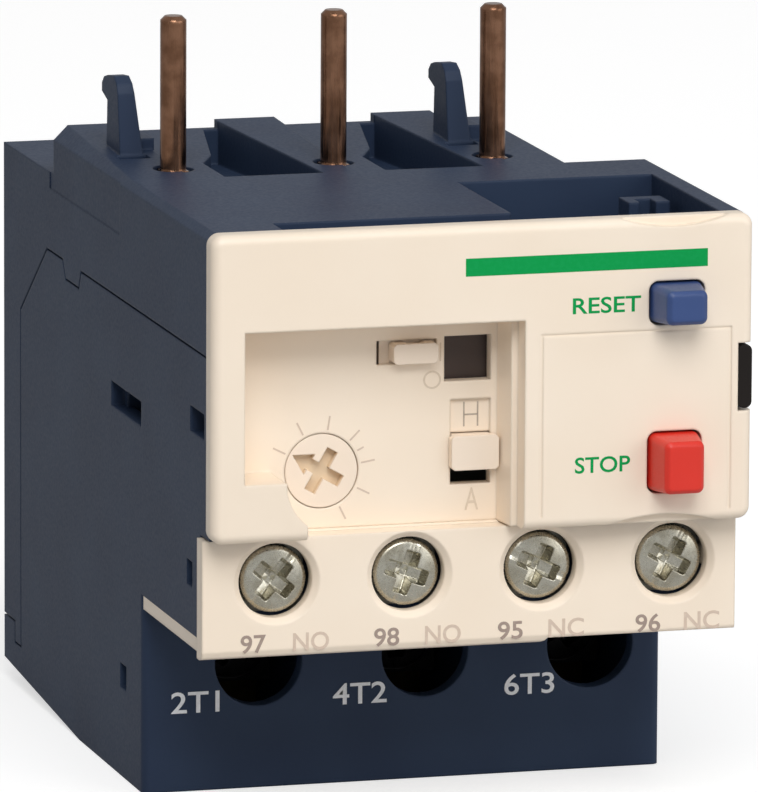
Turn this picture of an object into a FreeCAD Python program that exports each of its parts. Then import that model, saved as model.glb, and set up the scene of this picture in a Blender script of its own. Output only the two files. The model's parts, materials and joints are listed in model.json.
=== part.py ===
import FreeCAD, Part
import math
import os

# Thermal overload relay, three poles, plug-in type.  Millimetres, +Z up along the line pins.
# The front cover faces -Y.  "Depth" is measured rearwards from the cover's front face.
# X is centred on the cover, Y on the overall depth, and Z = 0 is the underside.

V = FreeCAD.Vector

# ---- overall ----
COVER_WIDTH = 45.0
SIDE_STEP = 0.35        # how far the cover stands proud of the housings on each side
DEPTH = 70.0            # cover front to rear face
TOP_Z = 50.0            # top plane of the upper housing
BUTTON_PROUD = 3.0      # how far both push buttons stand out of the cover
WALL = 1.6              # side walls of both housings
GAP = 0.15              # open joint between two mouldings
SEAM = 0.2              # shadow line between the two housings
RUN = 0.08              # radial running clearance of a shaft
SLIP = 0.2              # clearance round a sliding piece
COVER_HALF = COVER_WIDTH / 2
HALF = COVER_HALF - SIDE_STEP
INNER = HALF - WALL
FRONT_Y = -(DEPTH + BUTTON_PROUD) / 2 + BUTTON_PROUD

# ---- front cover ----
COVER_T = 1.85
COVER_Z0 = 25.2
COVER_Z1 = TOP_Z + 0.2
COVER_EDGE_R = 0.8
RECESS_X0 = -COVER_HALF + 2.7
RECESS_X1 = RECESS_X0 + 23.2
RECESS_TOP = COVER_Z1 - 7.9
RECESS_CORNER_Z = COVER_Z0 + 4.8
RECESS_DEPTH = 5.0
RECESS_LEDGE = 0.55
FLOOR_T = 1.2
HOUSING_D = COVER_T + GAP
SKIRT_D = 5.2
SNAP_Z0 = 33.4          # snap arms of the cover, and the windows they spring into
SNAP_Z1 = 35.0
LATCH_Z0 = 34.3         # black latch in the cover's right-hand edge
LATCH_Z1 = 39.5
LATCH_INSET = 1.25
SCOOP_R = 14.0          # shallow finger scoops in the cover's top and bottom edges
SCOOP_DEPTH = 0.8

# ---- terminal cover ----
STRIP_D = 3.0
STRIP_T = 1.6
STRIP_Z0 = COVER_Z0 - 10.0
SHELF_T = 1.1
SHELF_REAR_GAP = 0.2
AUX_D = STRIP_D + STRIP_T + GAP
CLIP_Z0 = STRIP_Z0 + 5.5
CLIP_Z1 = CLIP_Z0 + 1.5

# ---- housings ----
LOWER_D = 23.0          # front face of the power terminal block
LOWER_WALL = 1.6
BASE_RISE = 1.8
BASE_RISE_D = 44.0
SEAM_Z = 39.8
REAR_SEAM_D = DEPTH - 6.0
REAR_SEAM_Z = 33.1
PEAK_D = REAR_SEAM_D - 9.1
NOTCH_LENGTH = 6.3
NOTCH_D = PEAK_D - NOTCH_LENGTH - 5.3
NOTCH_DROP = 1.5
TAIL_D = DEPTH - 3.7
TAIL_Z = 5.5
TAIL_DIP = 1.8
TOP_T = 1.8
VENT = (23.6, 33.3, 30.5, 32.6)     # side vent: two depths, two heights
KEY_SLOT = (28.3, 30.3, 7.4, 9.5)   # blind key slot: two depths, two heights
STEP_D = DEPTH - 17.0   # rear end of the top plane
REAR_TOP_Z = TOP_Z - 3.4
REAR_T = 3.0
SHOULDER_X = HALF - 6.95
SHOULDER_D = 28.6
SHOULDER_Z = TOP_Z - 8.0
EDGE_CUT = 0.6          # bevel along the left top edge
BAY_FLOOR_T = 1.2
BAY_FLOOR_Z = COVER_Z0 + 1.0
POWER_FLOOR_Z = 3.2
SHELF_TOP_Z = STRIP_Z0 + 0.3 + SHELF_T

# ---- line pins and top details ----
PIN_X1 = -HALF + 5.15
PIN_PITCH = (SHOULDER_X - 4.9 - PIN_X1) / 2
PIN_D = 33.0
PIN_R = 1.08
PIN_TIP_CUT = 0.35
PIN_SHANK_HALF = 1.09   # square shank that keys the pin in its slot
PIN_HEIGHT = 12.8
RUN_Z = TOP_Z - 6.8
RIB_HEIGHT = 0.7
RIB_LEFT = -4.8
RIB_WIDTH = 5.2
RIB_START_D = 29.0
POCKET_DEPTH = 3.0
POCKET_WALL = 1.0
POCKET_D0 = 28.6
POCKET_D1 = 51.9
HOOK_X = (PIN_X1 - 1.9, PIN_X1 + 2 * PIN_PITCH - 1.0)
HOOK_WIDTH = 2.0
HOOK_D = 39.1
HOOK_LENGTH = 4.6
HOOK_HEIGHT = 6.6
HOOK_BARB = 1.5
CHANNEL_X0 = -HALF + 6.2   # shallow channel in the top, just behind the cover
CHANNEL_REAR_D = 6.0
CHANNEL_DEPTH = 0.9
NICHE_X0 = RECESS_X1 + 0.5
NICHE_X1 = HALF - 1.65
NICHE_REAR_D = 21.3
NICHE_DEPTH = 4.2
NICHE_FRONT_DEPTH = 3.2
NICHE_STEP_D = 9.5
NICHE_FLOOR_T = 0.8
NICHE_POST_D = 13.4      # slotted post in the niche

# ---- power terminals ----
LOAD_X1 = -HALF + 9.8
LOAD_PITCH = (HALF - 6.1 - LOAD_X1) / 2
LOAD_Z = 10.55
ACCESS_R = 3.7
CHAMBER_HALF = 4.9
CHAMBER_TOP_Z = SHELF_TOP_Z - 1.6
LOAD_HEAD_R = 3.3
LOAD_HEAD_T = 2.4
LOAD_HEAD_D = LOWER_D + 8.3
LOAD_SCREW_R = 2.0
LOAD_WASHER_T = 1.2
LOAD_PLATE_D = LOAD_HEAD_D + 6.9
LOAD_PLATE_T = 1.6
LOAD_CLAMP_HALF = 3.9
CHAMBER_REAR_D = LOAD_PLATE_D + 2.8
REAR_BAY_D = CHAMBER_REAR_D + 1.5
PARTITION_T = 1.2
PARTITION_D = REAR_BAY_D + 5.5
BAR_T = 1.5
BAR_HALF = 1.9
BAR_BEND_D = REAR_BAY_D + 1.9
ENTRY_HALF = 3.9
ENTRY_D0 = LOAD_HEAD_D + 0.1
KEY_DEPTH = 0.7

# ---- auxiliary terminals ----
AUX_CELL_HALF = 3.7
AUX_X1 = -INNER + AUX_CELL_HALF + 0.55
AUX_PITCH = (INNER - AUX_CELL_HALF - AUX_X1) / 3
AUX_Z = COVER_Z0 - 3.75
AUX_HOLE_R = 3.05
AUX_HEAD_R = 2.75
AUX_HEAD_T = 2.0
AUX_HEAD_D = STRIP_D + 0.7
AUX_SCREW_R = 1.75
AUX_WASHER_T = 1.0
AUX_CLAMP_HALF = 2.9
AUX_PLATE_D = AUX_HEAD_D + 6.8
AUX_PLATE_T = 1.0
AUX_CELL_REAR_D = AUX_PLATE_D + 5.4
AUX_TAIL_HALF = 1.2
WIRE_ENTRY_HALF = 2.9
WIRE_ENTRY_D = AUX_HEAD_D + 2.0

# ---- controls ----
RESET_X = COVER_HALF - 6.45
RESET_Z = COVER_Z1 - 6.95
RESET_W = 4.7
RESET_H = 3.6
RESET_ROD_D = 20.9      # rear end of the reset rod, just short of the rocker's cross arm
STOP_X = COVER_HALF - 6.55
STOP_Z = COVER_Z0 + 5.05
STOP_W = 4.6
STOP_H = 5.1
BUTTON_TAPER = 0.5
BUTTON_TRAVEL = 2.0
BUTTON_CORNER_R = 0.8
BUTTON_ROD_R = 0.8
SPRING_R = 1.35
SPRING_WIRE = 0.4
SPRING_TURNS = 3
GUIDE_T = 0.8
GUIDE_D = 6.4
FLANGE_T = 0.8
DIAL_X = RECESS_X0 + 7.7
DIAL_Z = COVER_Z0 + 4.7
DIAL_R = 3.0
DIAL_STEP_R = 4.2
RECESS_STEP_X = DIAL_X - 2.45
DIAL_SHAFT_R = 1.3
DRIVE_DEPTH = 0.75
CAM_R = 2.0
CAM_RISE = 1.2
CAM_SWEEP = 216.0
CAM_STEPS = 12
CAM_D0 = 9.4
CAM_D1 = 11.4
FOLLOWER_Z = DIAL_Z + CAM_R + 0.1
SELECTOR_X0 = RECESS_X1 - 4.75
SELECTOR_X1 = RECESS_X1 - 1.4
SELECTOR_GRIP_Z = COVER_Z0 + 4.35
SELECTOR_GRIP_H = 2.8
SELECTOR_TRAVEL = 1.25
SELECTOR_Z0 = SELECTOR_GRIP_Z - SELECTOR_TRAVEL - 0.05
SELECTOR_Z1 = SELECTOR_GRIP_Z + SELECTOR_GRIP_H + 0.1
LETTER_PAD_Z1 = SELECTOR_Z1 + 2.75   # shallow pad above the selector slot
LETTER_PAD_DEPTH = 0.35
TEST_X0 = RECESS_X1 - 9.8
TEST_X1 = RECESS_X1 - 6.1
TEST_Z0 = RECESS_TOP - 3.85
TEST_Z1 = RECESS_TOP - 2.2
TEST_TRAVEL = 1.0
TEST_LIP = 0.3          # overlap of the test tab's flange at its right-hand end
TEST_PROUD = 1.1
TEST_FLOOR_T = 0.5      # the recess floor is thinned behind the test tab
WINDOW_X0 = RECESS_X1 - 5.3
WINDOW_X1 = RECESS_X1 - 1.4
WINDOW_Z0 = RECESS_TOP - 5.6
WINDOW_Z1 = RECESS_TOP - 1.9
BEHIND_D = RECESS_DEPTH + FLOOR_T + GAP
PANEL_Z = RECESS_TOP - 1.4
PANEL_X0 = RECESS_X1 + 1.3
PANEL_X1 = COVER_HALF - 1.8
PANEL_GROOVE = 0.06

# ---- trip mechanism ----
FRAME_D = 14.0
FRAME_T = 1.5
ROCKER_D = 24.5
ROCKER_Z = 38.5
ROCKER_HUB_R = 2.2
ROCKER_HALF = 8.0
EAR_T = 1.8
CROSS_Z0 = 42.2         # upper cross arm of the rocker
CROSS_Z1 = 44.6
PIVOT_R = 0.9
FLAG_D = BEHIND_D + 0.15
FLAG_T = 0.8
FLAG_FORK_D = 18.4      # rear end of the flag's fork, just past the rocker's arm
FLAG_ARM_D = 17.0
FLAG_ARM_Z = 41.0       # height of the arm's tip, where the fork takes it
CONTACT_Z = 28.2
TIP_R = 0.7
TIP_T = 0.5
STRIP_BRIDGE_T = 0.8
BRIDGE_HALF = 0.8
CONTACT_TRAVEL = 1.0
NC_PAD_D = 16.8
NO_PAD_D = 22.2
CARRIER_D0 = 18.8
CARRIER_D1 = 21.4
CARRIER_Z0 = 30.2
CARRIER_Z1 = 33.0
CARRIER_POST_HALF = 1.2
YOKE_HALF = 4.6

# ---- bimetal section ----
STRIP_DEPTH0 = DEPTH - 16.5
STRIP_DEPTH1 = STRIP_DEPTH0 + 5.0
BIMETAL_T = 1.0
PIVOT_Z = 10.0          # where a bimetal strip leaves its foot
TIP_Z = 38.0
FOOT_T = 1.4            # upright of the terminal bar under a bimetal strip
HEATER_Z0 = 13.0
HEATER_TURNS = 7
HEATER_PITCH = 2.2
HEATER_RIBBON = 1.3
HEATER_T = 0.6
HEATER_GAP = 0.9        # leaves the bending strip its room
SLIDE_Z0 = 35.0
SLIDE_H = 2.6
SLIDE_T = 1.8
FRONT_SLIDE_D = STRIP_DEPTH0 - 2.9
REAR_SLIDE_D = STRIP_DEPTH1 + 1.1
FINGER_T = 1.1
LINK_X = PIN_X1 - 0.4
LINK_LIFT = 0.65
LINK_T = 1.1
LINK_POST_R = 0.7
LEVER_X = PIN_X1 - 1.5
LEVER_T = 0.8
LEVER_PIVOT_D = 34.0
LEVER_FRONT_D = 26.0
LEVER_REAR_D = FRONT_SLIDE_D - 0.8
LEVER_TIP_Z = 41.6
LEVER_PIN_R = 0.7
PIVOT_BLOCK_HALF = 1.9

POLES = range(3)
AUX_NAMES = ("97", "98", "95", "96")


def y_at(depth):
    return FRONT_Y + depth


def box(x0, x1, d0, d1, z0, z1):
    """Box between two x values, two depths and two heights."""
    return Part.makeBox(x1 - x0, d1 - d0, z1 - z0, V(x0, y_at(d0), z0))


def rod_x(d, z, x0, x1, r):
    return Part.makeCylinder(r, x1 - x0, V(x0, y_at(d), z), V(1, 0, 0))


def rod_y(x, z, d0, d1, r):
    return Part.makeCylinder(r, d1 - d0, V(x, y_at(d0), z), V(0, 1, 0))


def rod_z(x, d, z0, z1, r):
    return Part.makeCylinder(r, z1 - z0, V(x, y_at(d), z0), V(0, 0, 1))


def profile_x(points, x0, x1):
    """Extrude a (depth, z) outline from x0 to x1."""
    corners = [V(x0, y_at(d), z) for d, z in points]
    return Part.Face(Part.makePolygon(corners + corners[:1])).extrude(V(x1 - x0, 0, 0))


def profile_y(points, d0, d1):
    """Extrude an (x, z) outline from depth d0 to depth d1."""
    corners = [V(x, y_at(d0), z) for x, z in points]
    return Part.Face(Part.makePolygon(corners + corners[:1])).extrude(V(0, d1 - d0, 0))


def profile_z(points, z0, z1):
    """Extrude an (x, depth) outline from z0 to z1."""
    corners = [V(x, y_at(d), z0) for x, d in points]
    return Part.Face(Part.makePolygon(corners + corners[:1])).extrude(V(0, 0, z1 - z0))


def round_edges(shape, axis, radius, keep=lambda p: True):
    """Fillet the straight edges that run along an axis and whose middle passes keep."""
    chosen = []
    for edge in shape.Edges:
        if len(edge.Vertexes) != 2:
            continue
        a, b = (v.Point for v in edge.Vertexes)
        run = b - a
        if run.Length < 1e-6 or abs(abs(run.normalize().dot(axis)) - 1) > 1e-6:
            continue
        if keep((a + b) * 0.5):
            chosen.append(edge)
    return shape.makeFillet(radius, chosen) if chosen else shape


def clipped(a0, a1, b0, b1, c):
    """Corner points of a rectangle whose corners are cut off by c."""
    return [(a0 + c, b0), (a1 - c, b0), (a1, b0 + c), (a1, b1 - c), (a1 - c, b1), (a0 + c, b1),
            (a0, b1 - c), (a0, b0 + c)]


def soft_box(x0, x1, d0, d1, z0, z1, axis, radius):
    """Box whose four edges along the axis are rounded."""
    return round_edges(box(x0, x1, d0, d1, z0, z1), axis, radius)


def rect_wire(x, z, w, h, r, depth):
    """Rounded rectangle, centred on x and z, in the plane at a depth."""
    y = y_at(depth)
    hw, hh, k = w / 2, h / 2, r * (1 - math.sqrt(0.5))
    arcs = []
    for sx, sz in ((1, 1), (-1, 1), (-1, -1), (1, -1)):
        corner_x, corner_z = x + sx * hw, z + sz * hh
        flat_x, flat_z = V(corner_x - sx * r, y, corner_z), V(corner_x, y, corner_z - sz * r)
        middle = V(corner_x - sx * k, y, corner_z - sz * k)
        ends = (flat_z, flat_x) if sx * sz > 0 else (flat_x, flat_z)
        arcs.append(Part.Arc(ends[0], middle, ends[1]).toShape())
    edges = []
    for i, arc in enumerate(arcs):
        edges.append(arc)
        following = arcs[(i + 1) % 4]
        edges.append(Part.makeLine(arc.lastVertex(True).Point, following.firstVertex(True).Point))
    return Part.Wire(edges)


def tapered_block(x, z, front, rear, depths, r):
    """Loft from a (w, h) front rectangle to a (w, h) rear rectangle."""
    return Part.makeLoft([rect_wire(x, z, front[0], front[1], r, depths[0]),
                          rect_wire(x, z, rear[0], rear[1], r, depths[1])], True, True)


def fuse(shapes):
    joined = shapes[0].multiFuse(shapes[1:]) if len(shapes) > 1 else shapes[0]
    return joined.removeSplitter()


def pin_x(k):
    return PIN_X1 + k * PIN_PITCH


def load_x(k):
    return LOAD_X1 + k * LOAD_PITCH


def aux_x(k):
    return AUX_X1 + k * AUX_PITCH


# ---- housings ----
def seam_line():
    """Side seam between the housings, front to rear, as (depth, z)."""
    notch_end = NOTCH_D + NOTCH_LENGTH
    return [(HOUSING_D, SEAM_Z), (NOTCH_D, SEAM_Z), (NOTCH_D + 0.8, SEAM_Z - NOTCH_DROP),
            (notch_end - 1.0, SEAM_Z - NOTCH_DROP), (notch_end, SEAM_Z), (PEAK_D, SEAM_Z),
            (REAR_SEAM_D, REAR_SEAM_Z), (REAR_SEAM_D, TAIL_Z - TAIL_DIP),
            (TAIL_D, TAIL_Z - TAIL_DIP), (TAIL_D, TAIL_Z), (DEPTH, TAIL_Z)]


def lower_outline():
    return seam_line() + [(DEPTH, BASE_RISE), (BASE_RISE_D, 0), (LOWER_D, 0),
                          (LOWER_D, SHELF_TOP_Z), (AUX_D, SHELF_TOP_Z),
                          (AUX_D, COVER_Z0), (HOUSING_D, COVER_Z0)]


def lower_outline_grown():
    """The lower housing's outline with the open seam added all round."""
    corners = [V(-HALF - 1, y_at(d), z) for d, z in lower_outline()]
    face = Part.Face(Part.makePolygon(corners + corners[:1]))
    return face.makeOffset2D(SEAM, join=2).extrude(V(2 * HALF + 2, 0, 0))


def side_windows(side):
    """Slots in a side wall: a vent, two snap windows and a blind key slot."""
    outer = side * (HALF + 1)
    inner = side * (INNER - 0.2)
    x0, x1 = min(outer, inner), max(outer, inner)
    key0, key1 = sorted((outer, side * (HALF - KEY_DEPTH)))
    return [box(x0, x1, *VENT),
            box(x0, x1, 3.7, 8.0, SNAP_Z0 - 0.3, SNAP_Z1 + SLIP),
            box(x0, x1, 7.3, 9.0, CLIP_Z0 - 0.3, CLIP_Z1 + 0.3),
            box(key0, key1, *KEY_SLOT)]


def power_chamber(k):
    """Hollow of one power terminal with its driver hole and its cable entry."""
    x = load_x(k)
    return [box(x - CHAMBER_HALF, x + CHAMBER_HALF, LOWER_D + LOWER_WALL, CHAMBER_REAR_D,
                POWER_FLOOR_Z, CHAMBER_TOP_Z),
            rod_y(x, LOAD_Z, LOWER_D - 1, LOWER_D + LOWER_WALL + 1, ACCESS_R),
            profile_z(clipped(x - ENTRY_HALF, x + ENTRY_HALF, ENTRY_D0, LOAD_PLATE_D - 0.1, 0.8),
                      -1, POWER_FLOOR_Z + 1),
            box(x - 2.4, x + 1.7, CHAMBER_REAR_D - 1, REAR_BAY_D + 1, POWER_FLOOR_Z,
                POWER_FLOOR_Z + BAR_T + SLIP),
            box(x - LOAD_SCREW_R - 0.5, x + LOAD_SCREW_R + 0.5, CHAMBER_REAR_D - 1,
                REAR_BAY_D + 1, LOAD_Z - LOAD_SCREW_R - 0.5, LOAD_Z + LOAD_SCREW_R + 0.5)]


def aux_cell(k):
    """Hollow of one auxiliary terminal with its wire entry and its tail slot."""
    x = aux_x(k)
    floor = SHELF_TOP_Z + BAY_FLOOR_T
    return [box(x - AUX_CELL_HALF, x + AUX_CELL_HALF, AUX_D - 1, AUX_CELL_REAR_D, floor,
                BAY_FLOOR_Z - BAY_FLOOR_T),
            box(x - WIRE_ENTRY_HALF, x + WIRE_ENTRY_HALF, WIRE_ENTRY_D, AUX_PLATE_D - 0.1,
                SHELF_TOP_Z - 1, floor + 1),
            box(x - AUX_TAIL_HALF - SLIP, x + AUX_TAIL_HALF + SLIP, AUX_PLATE_D - SLIP,
                AUX_PLATE_D + AUX_PLATE_T + SLIP, BAY_FLOOR_Z - BAY_FLOOR_T - 1, BAY_FLOOR_Z + 1)]


def lower_housing():
    shell = profile_x(lower_outline(), -HALF, HALF)
    shell = round_edges(shell, V(0, 0, 1), 0.7,
                        lambda p: abs(p.y - y_at(LOWER_D)) < 0.01)
    cuts = [box(-INNER, INNER, HOUSING_D - 1, DEPTH + 1, BAY_FLOOR_Z, SEAM_Z + 1),
            box(-INNER, INNER, REAR_BAY_D, REAR_SEAM_D + 1, POWER_FLOOR_Z, SEAM_Z + 1)]
    for k in POLES:
        cuts += power_chamber(k)
    for k in range(4):
        cuts += aux_cell(k)
    for side in (-1, 1):
        cuts += side_windows(side)
        arm0, arm1 = sorted((side * (INNER - 0.9), side * (INNER + 0.05)))
        cuts.append(box(arm0, arm1, AUX_D - 1, 9.2, CLIP_Z0 - 0.3, CLIP_Z1 + 0.3))
    cuts.append(box(RECESS_STEP_X - FLOOR_T - GAP, RECESS_X1 + FLOOR_T + GAP, HOUSING_D - 1,
                    BEHIND_D, BAY_FLOOR_Z - BAY_FLOOR_T - 0.1, BAY_FLOOR_Z + 1))
    shell = shell.cut(fuse(cuts))
    walls = []
    for k in (0, 1):
        x = (pin_x(k) + pin_x(k + 1)) / 2
        walls.append(box(x - PARTITION_T / 2, x + PARTITION_T / 2, PARTITION_D,
                         REAR_SEAM_D - 1.0, POWER_FLOOR_Z, SLIDE_Z0))
        walls.append(box(x - PARTITION_T / 2, x + PARTITION_T / 2, REAR_BAY_D - 0.5,
                         REAR_BAY_D + 2, CHAMBER_TOP_Z, BAY_FLOOR_Z))
    walls.append(box(-INNER - 0.5, LEVER_X + PIVOT_BLOCK_HALF, LEVER_PIVOT_D - PIVOT_BLOCK_HALF,
                     LEVER_PIVOT_D + PIVOT_BLOCK_HALF, BAY_FLOOR_Z - 1, SLIDE_Z0))
    shell = fuse([shell] + walls)
    return shell.cut(rod_z(LEVER_X, LEVER_PIVOT_D, SLIDE_Z0 - 5, SLIDE_Z0 + 1, LEVER_PIN_R))


def rib(k):
    """Raised rib beside a line pin: it starts level and rises to the rear."""
    x = pin_x(k)
    points = [(RIB_START_D, TOP_Z - 0.5), (RIB_START_D, TOP_Z), (STEP_D, TOP_Z + RIB_HEIGHT),
              (STEP_D, TOP_Z - 0.5)]
    x0 = max(x + RIB_LEFT, -HALF)
    return profile_x(points, x0, x + RIB_LEFT + RIB_WIDTH)


def pocket_outline(k, grow=0.0):
    """Plan of the pocket between two ribs, as (x, depth), grown for its tub."""
    x = pin_x(k)
    return [(x + 3.2 - grow, POCKET_D0 - grow), (x + 11.6 + grow, POCKET_D0 - grow),
            (x + 8.9 + grow, POCKET_D1 + grow), (x + 7.6 - grow, POCKET_D1 + grow),
            (x + 4.9 - grow, POCKET_D0 + 10.7), (x + 3.2 - grow, POCKET_D0 + 6.9)]


def hook(x):
    """Snap hook that holds the relay under a contactor; its barb points to the rear."""
    rear = HOOK_D + HOOK_LENGTH
    top = TOP_Z + HOOK_HEIGHT
    points = [(HOOK_D, TOP_Z - 0.5), (HOOK_D + 0.9, top - 1.3), (HOOK_D + 1.3, top - 0.5),
              (HOOK_D + 2.2, top), (rear - 0.4, top - 0.2), (rear + 0.8, top - 0.5),
              (rear + HOOK_BARB, top - 1.1), (rear + HOOK_BARB, top - 1.8),
              (rear - 0.3, top - 2.3), (rear, TOP_Z - 0.5)]
    body = profile_x(points, x - HOOK_WIDTH / 2, x + HOOK_WIDTH / 2)
    wedge = profile_y([(x + 0.2, top + 1), (x + HOOK_WIDTH / 2 + 1, top + 1),
                       (x + HOOK_WIDTH / 2 + 1, TOP_Z), (x + HOOK_WIDTH / 2, TOP_Z)],
                      HOOK_D - 1, rear + 2)
    lug = box(x + HOOK_WIDTH / 2, x + HOOK_WIDTH / 2 + 1.4, HOOK_D + 2.0, rear, TOP_Z - 0.5,
              TOP_Z + 1.3)
    return [body.cut(wedge), lug]


def niche_blocks(grow):
    """Niche in the top behind the cover: shallow over the reset button, deeper behind it."""
    ceiling = TOP_Z + (1 if grow == 0 else 0)
    floor = NICHE_FLOOR_T if grow else 0
    return [box(NICHE_X0 - grow, NICHE_X1 + min(grow, 0.05), HOUSING_D - 1, NICHE_REAR_D + grow,
                TOP_Z - NICHE_FRONT_DEPTH - floor, ceiling),
            box(NICHE_X0 - grow, NICHE_X1 + min(grow, 0.05), NICHE_STEP_D - grow,
                NICHE_REAR_D + grow, TOP_Z - NICHE_DEPTH - floor, ceiling)]


def upper_hollow():
    """Inside of the upper housing, less the tubs that hang from its top."""
    profile = [(HOUSING_D - 1, -5), (HOUSING_D - 1, TOP_Z - TOP_T),
               (STEP_D - WALL, TOP_Z - TOP_T), (STEP_D - WALL, REAR_TOP_Z - TOP_T),
               (DEPTH - REAR_T, REAR_TOP_Z - TOP_T), (DEPTH - REAR_T, -5)]
    hollow = profile_x(profile, -INNER, INNER)
    tubs = [profile_z(pocket_outline(k, POCKET_WALL), TOP_Z - POCKET_DEPTH - POCKET_WALL, TOP_Z)
            for k in (0, 1)]
    tubs += niche_blocks(1.2)
    tubs.append(box(SHOULDER_X - WALL, HALF, SHOULDER_D - WALL, DEPTH, SHOULDER_Z - TOP_T, TOP_Z))
    return hollow.cut(fuse(tubs))


def upper_housing():
    outline = seam_line() + [(DEPTH, REAR_TOP_Z), (STEP_D, REAR_TOP_Z), (STEP_D, TOP_Z),
                             (HOUSING_D, TOP_Z)]
    shell = profile_x(outline, -HALF, HALF)
    shell = shell.cut(fuse([lower_outline_grown(), upper_hollow(),
                            box(SHOULDER_X, HALF + 1, SHOULDER_D, DEPTH + 1, SHOULDER_Z,
                                TOP_Z + 1)]))
    shell = fuse([shell] + [rib(k) for k in POLES])
    cuts = [profile_z(pocket_outline(k), TOP_Z - POCKET_DEPTH, TOP_Z + 2) for k in (0, 1)]
    cuts += niche_blocks(0)
    cuts.append(profile_y([(-HALF - 1, TOP_Z + 2), (-HALF - 1, TOP_Z - EDGE_CUT - 1),
                           (-HALF + EDGE_CUT + 2, TOP_Z + 2)], HOUSING_D - 1, STEP_D + 1))
    cuts.append(box(-HALF - 1, -HALF + 0.08, SHOULDER_D + 2.0, STEP_D + 1, REAR_TOP_Z - 1.4,
                    TOP_Z + 2))
    cuts.append(box(CHANNEL_X0, NICHE_X0 + 1, HOUSING_D - 1, CHANNEL_REAR_D,
                    TOP_Z - CHANNEL_DEPTH, TOP_Z + 2))
    for k in POLES:
        cuts.append(soft_box(pin_x(k) - 1.7, pin_x(k) + 1.7, PIN_D - 1.45, PIN_D + 1.45,
                             TOP_Z - TOP_T - 1, TOP_Z + 2, V(0, 0, 1), 1.4))
    cuts += [box(x - HOOK_WIDTH / 2 - 0.4, x + HOOK_WIDTH / 2 + 0.2, HOOK_D - 1.5, HOOK_D,
                 TOP_Z - 1.0, TOP_Z + 2) for x in HOOK_X]
    shell = shell.cut(fuse(cuts))
    post = box(NICHE_X1 - 4.4, NICHE_X1 - 0.9, NICHE_POST_D, NICHE_POST_D + 2.8,
               TOP_Z - NICHE_DEPTH - 0.3, TOP_Z - 0.9)
    post = post.cut(box(NICHE_X1 - 3.5, NICHE_X1 - 2.1, NICHE_POST_D - 1.0, NICHE_POST_D + 1.6,
                        TOP_Z - 2.6, TOP_Z))
    extras = [post, box(NICHE_X0 + 1.6, NICHE_X0 + 2.4, HOUSING_D + 1.0, HOUSING_D + 2.6,
                        TOP_Z - NICHE_FRONT_DEPTH - 0.3, TOP_Z - 1.0)]
    for x in HOOK_X:
        extras += hook(x)
    return fuse([shell] + extras)


# ---- covers ----
def recess_outline(inset=0.0, wall=0.0):
    """Recess outline as a face: stepped round the dial at its lower left."""
    x0, x1 = RECESS_X0 - wall + inset, RECESS_X1 + wall - inset
    r = DIAL_STEP_R + wall
    step_x = RECESS_STEP_X - wall
    reach = math.sqrt(r * r - (DIAL_X - step_x) ** 2)
    corner_z = RECESS_CORNER_Z - wall
    side = math.sqrt(r * r - (DIAL_Z - corner_z) ** 2)
    mid = math.radians(180 + 0.5 * math.degrees(math.atan2(reach, DIAL_X - step_x)))
    y = y_at(0)
    p = [V(x0, y, RECESS_TOP + wall), V(x0, y, corner_z), V(DIAL_X - side, y, corner_z),
         V(step_x, y, DIAL_Z - reach), V(step_x, y, COVER_Z0), V(x1, y, COVER_Z0),
         V(x1, y, RECESS_TOP + wall)]
    middle = V(DIAL_X + r * math.cos(mid), y, DIAL_Z + r * math.sin(mid))
    edges = [Part.makeLine(p[0], p[1]), Part.makeLine(p[1], p[2]),
             Part.Arc(p[2], middle, p[3]).toShape(), Part.makeLine(p[3], p[4]),
             Part.makeLine(p[4], p[5]), Part.makeLine(p[5], p[6]), Part.makeLine(p[6], p[0])]
    return Part.Face(Part.Wire(edges))


def recess_cutter():
    """The recess: open at the cover's lower edge, with a ledge down its right-hand wall."""
    cutter = recess_outline().extrude(V(0, RECESS_DEPTH, 0))
    cutter.translate(V(0, -0.001, 0))
    below = box(RECESS_STEP_X, RECESS_X1, -0.001, RECESS_DEPTH, COVER_Z0 - 1, COVER_Z0 + 0.1)
    ledge = profile_z([(RECESS_X1 - RECESS_LEDGE, 2.0), (RECESS_X1 - 1.6 * RECESS_LEDGE, 5.1),
                       (RECESS_X1 + 1, 5.1), (RECESS_X1 + 1, 2.0)], COVER_Z0 - 2, RECESS_TOP + 1)
    return fuse([cutter, below]).cut(ledge)


def button_hole(x, z, w, h, d1, grow=0.0):
    face = Part.Face(rect_wire(x, z, w + 2 * grow, h + 2 * grow, BUTTON_CORNER_R + grow, -1))
    return face.extrude(V(0, d1 + 1, 0))


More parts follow.
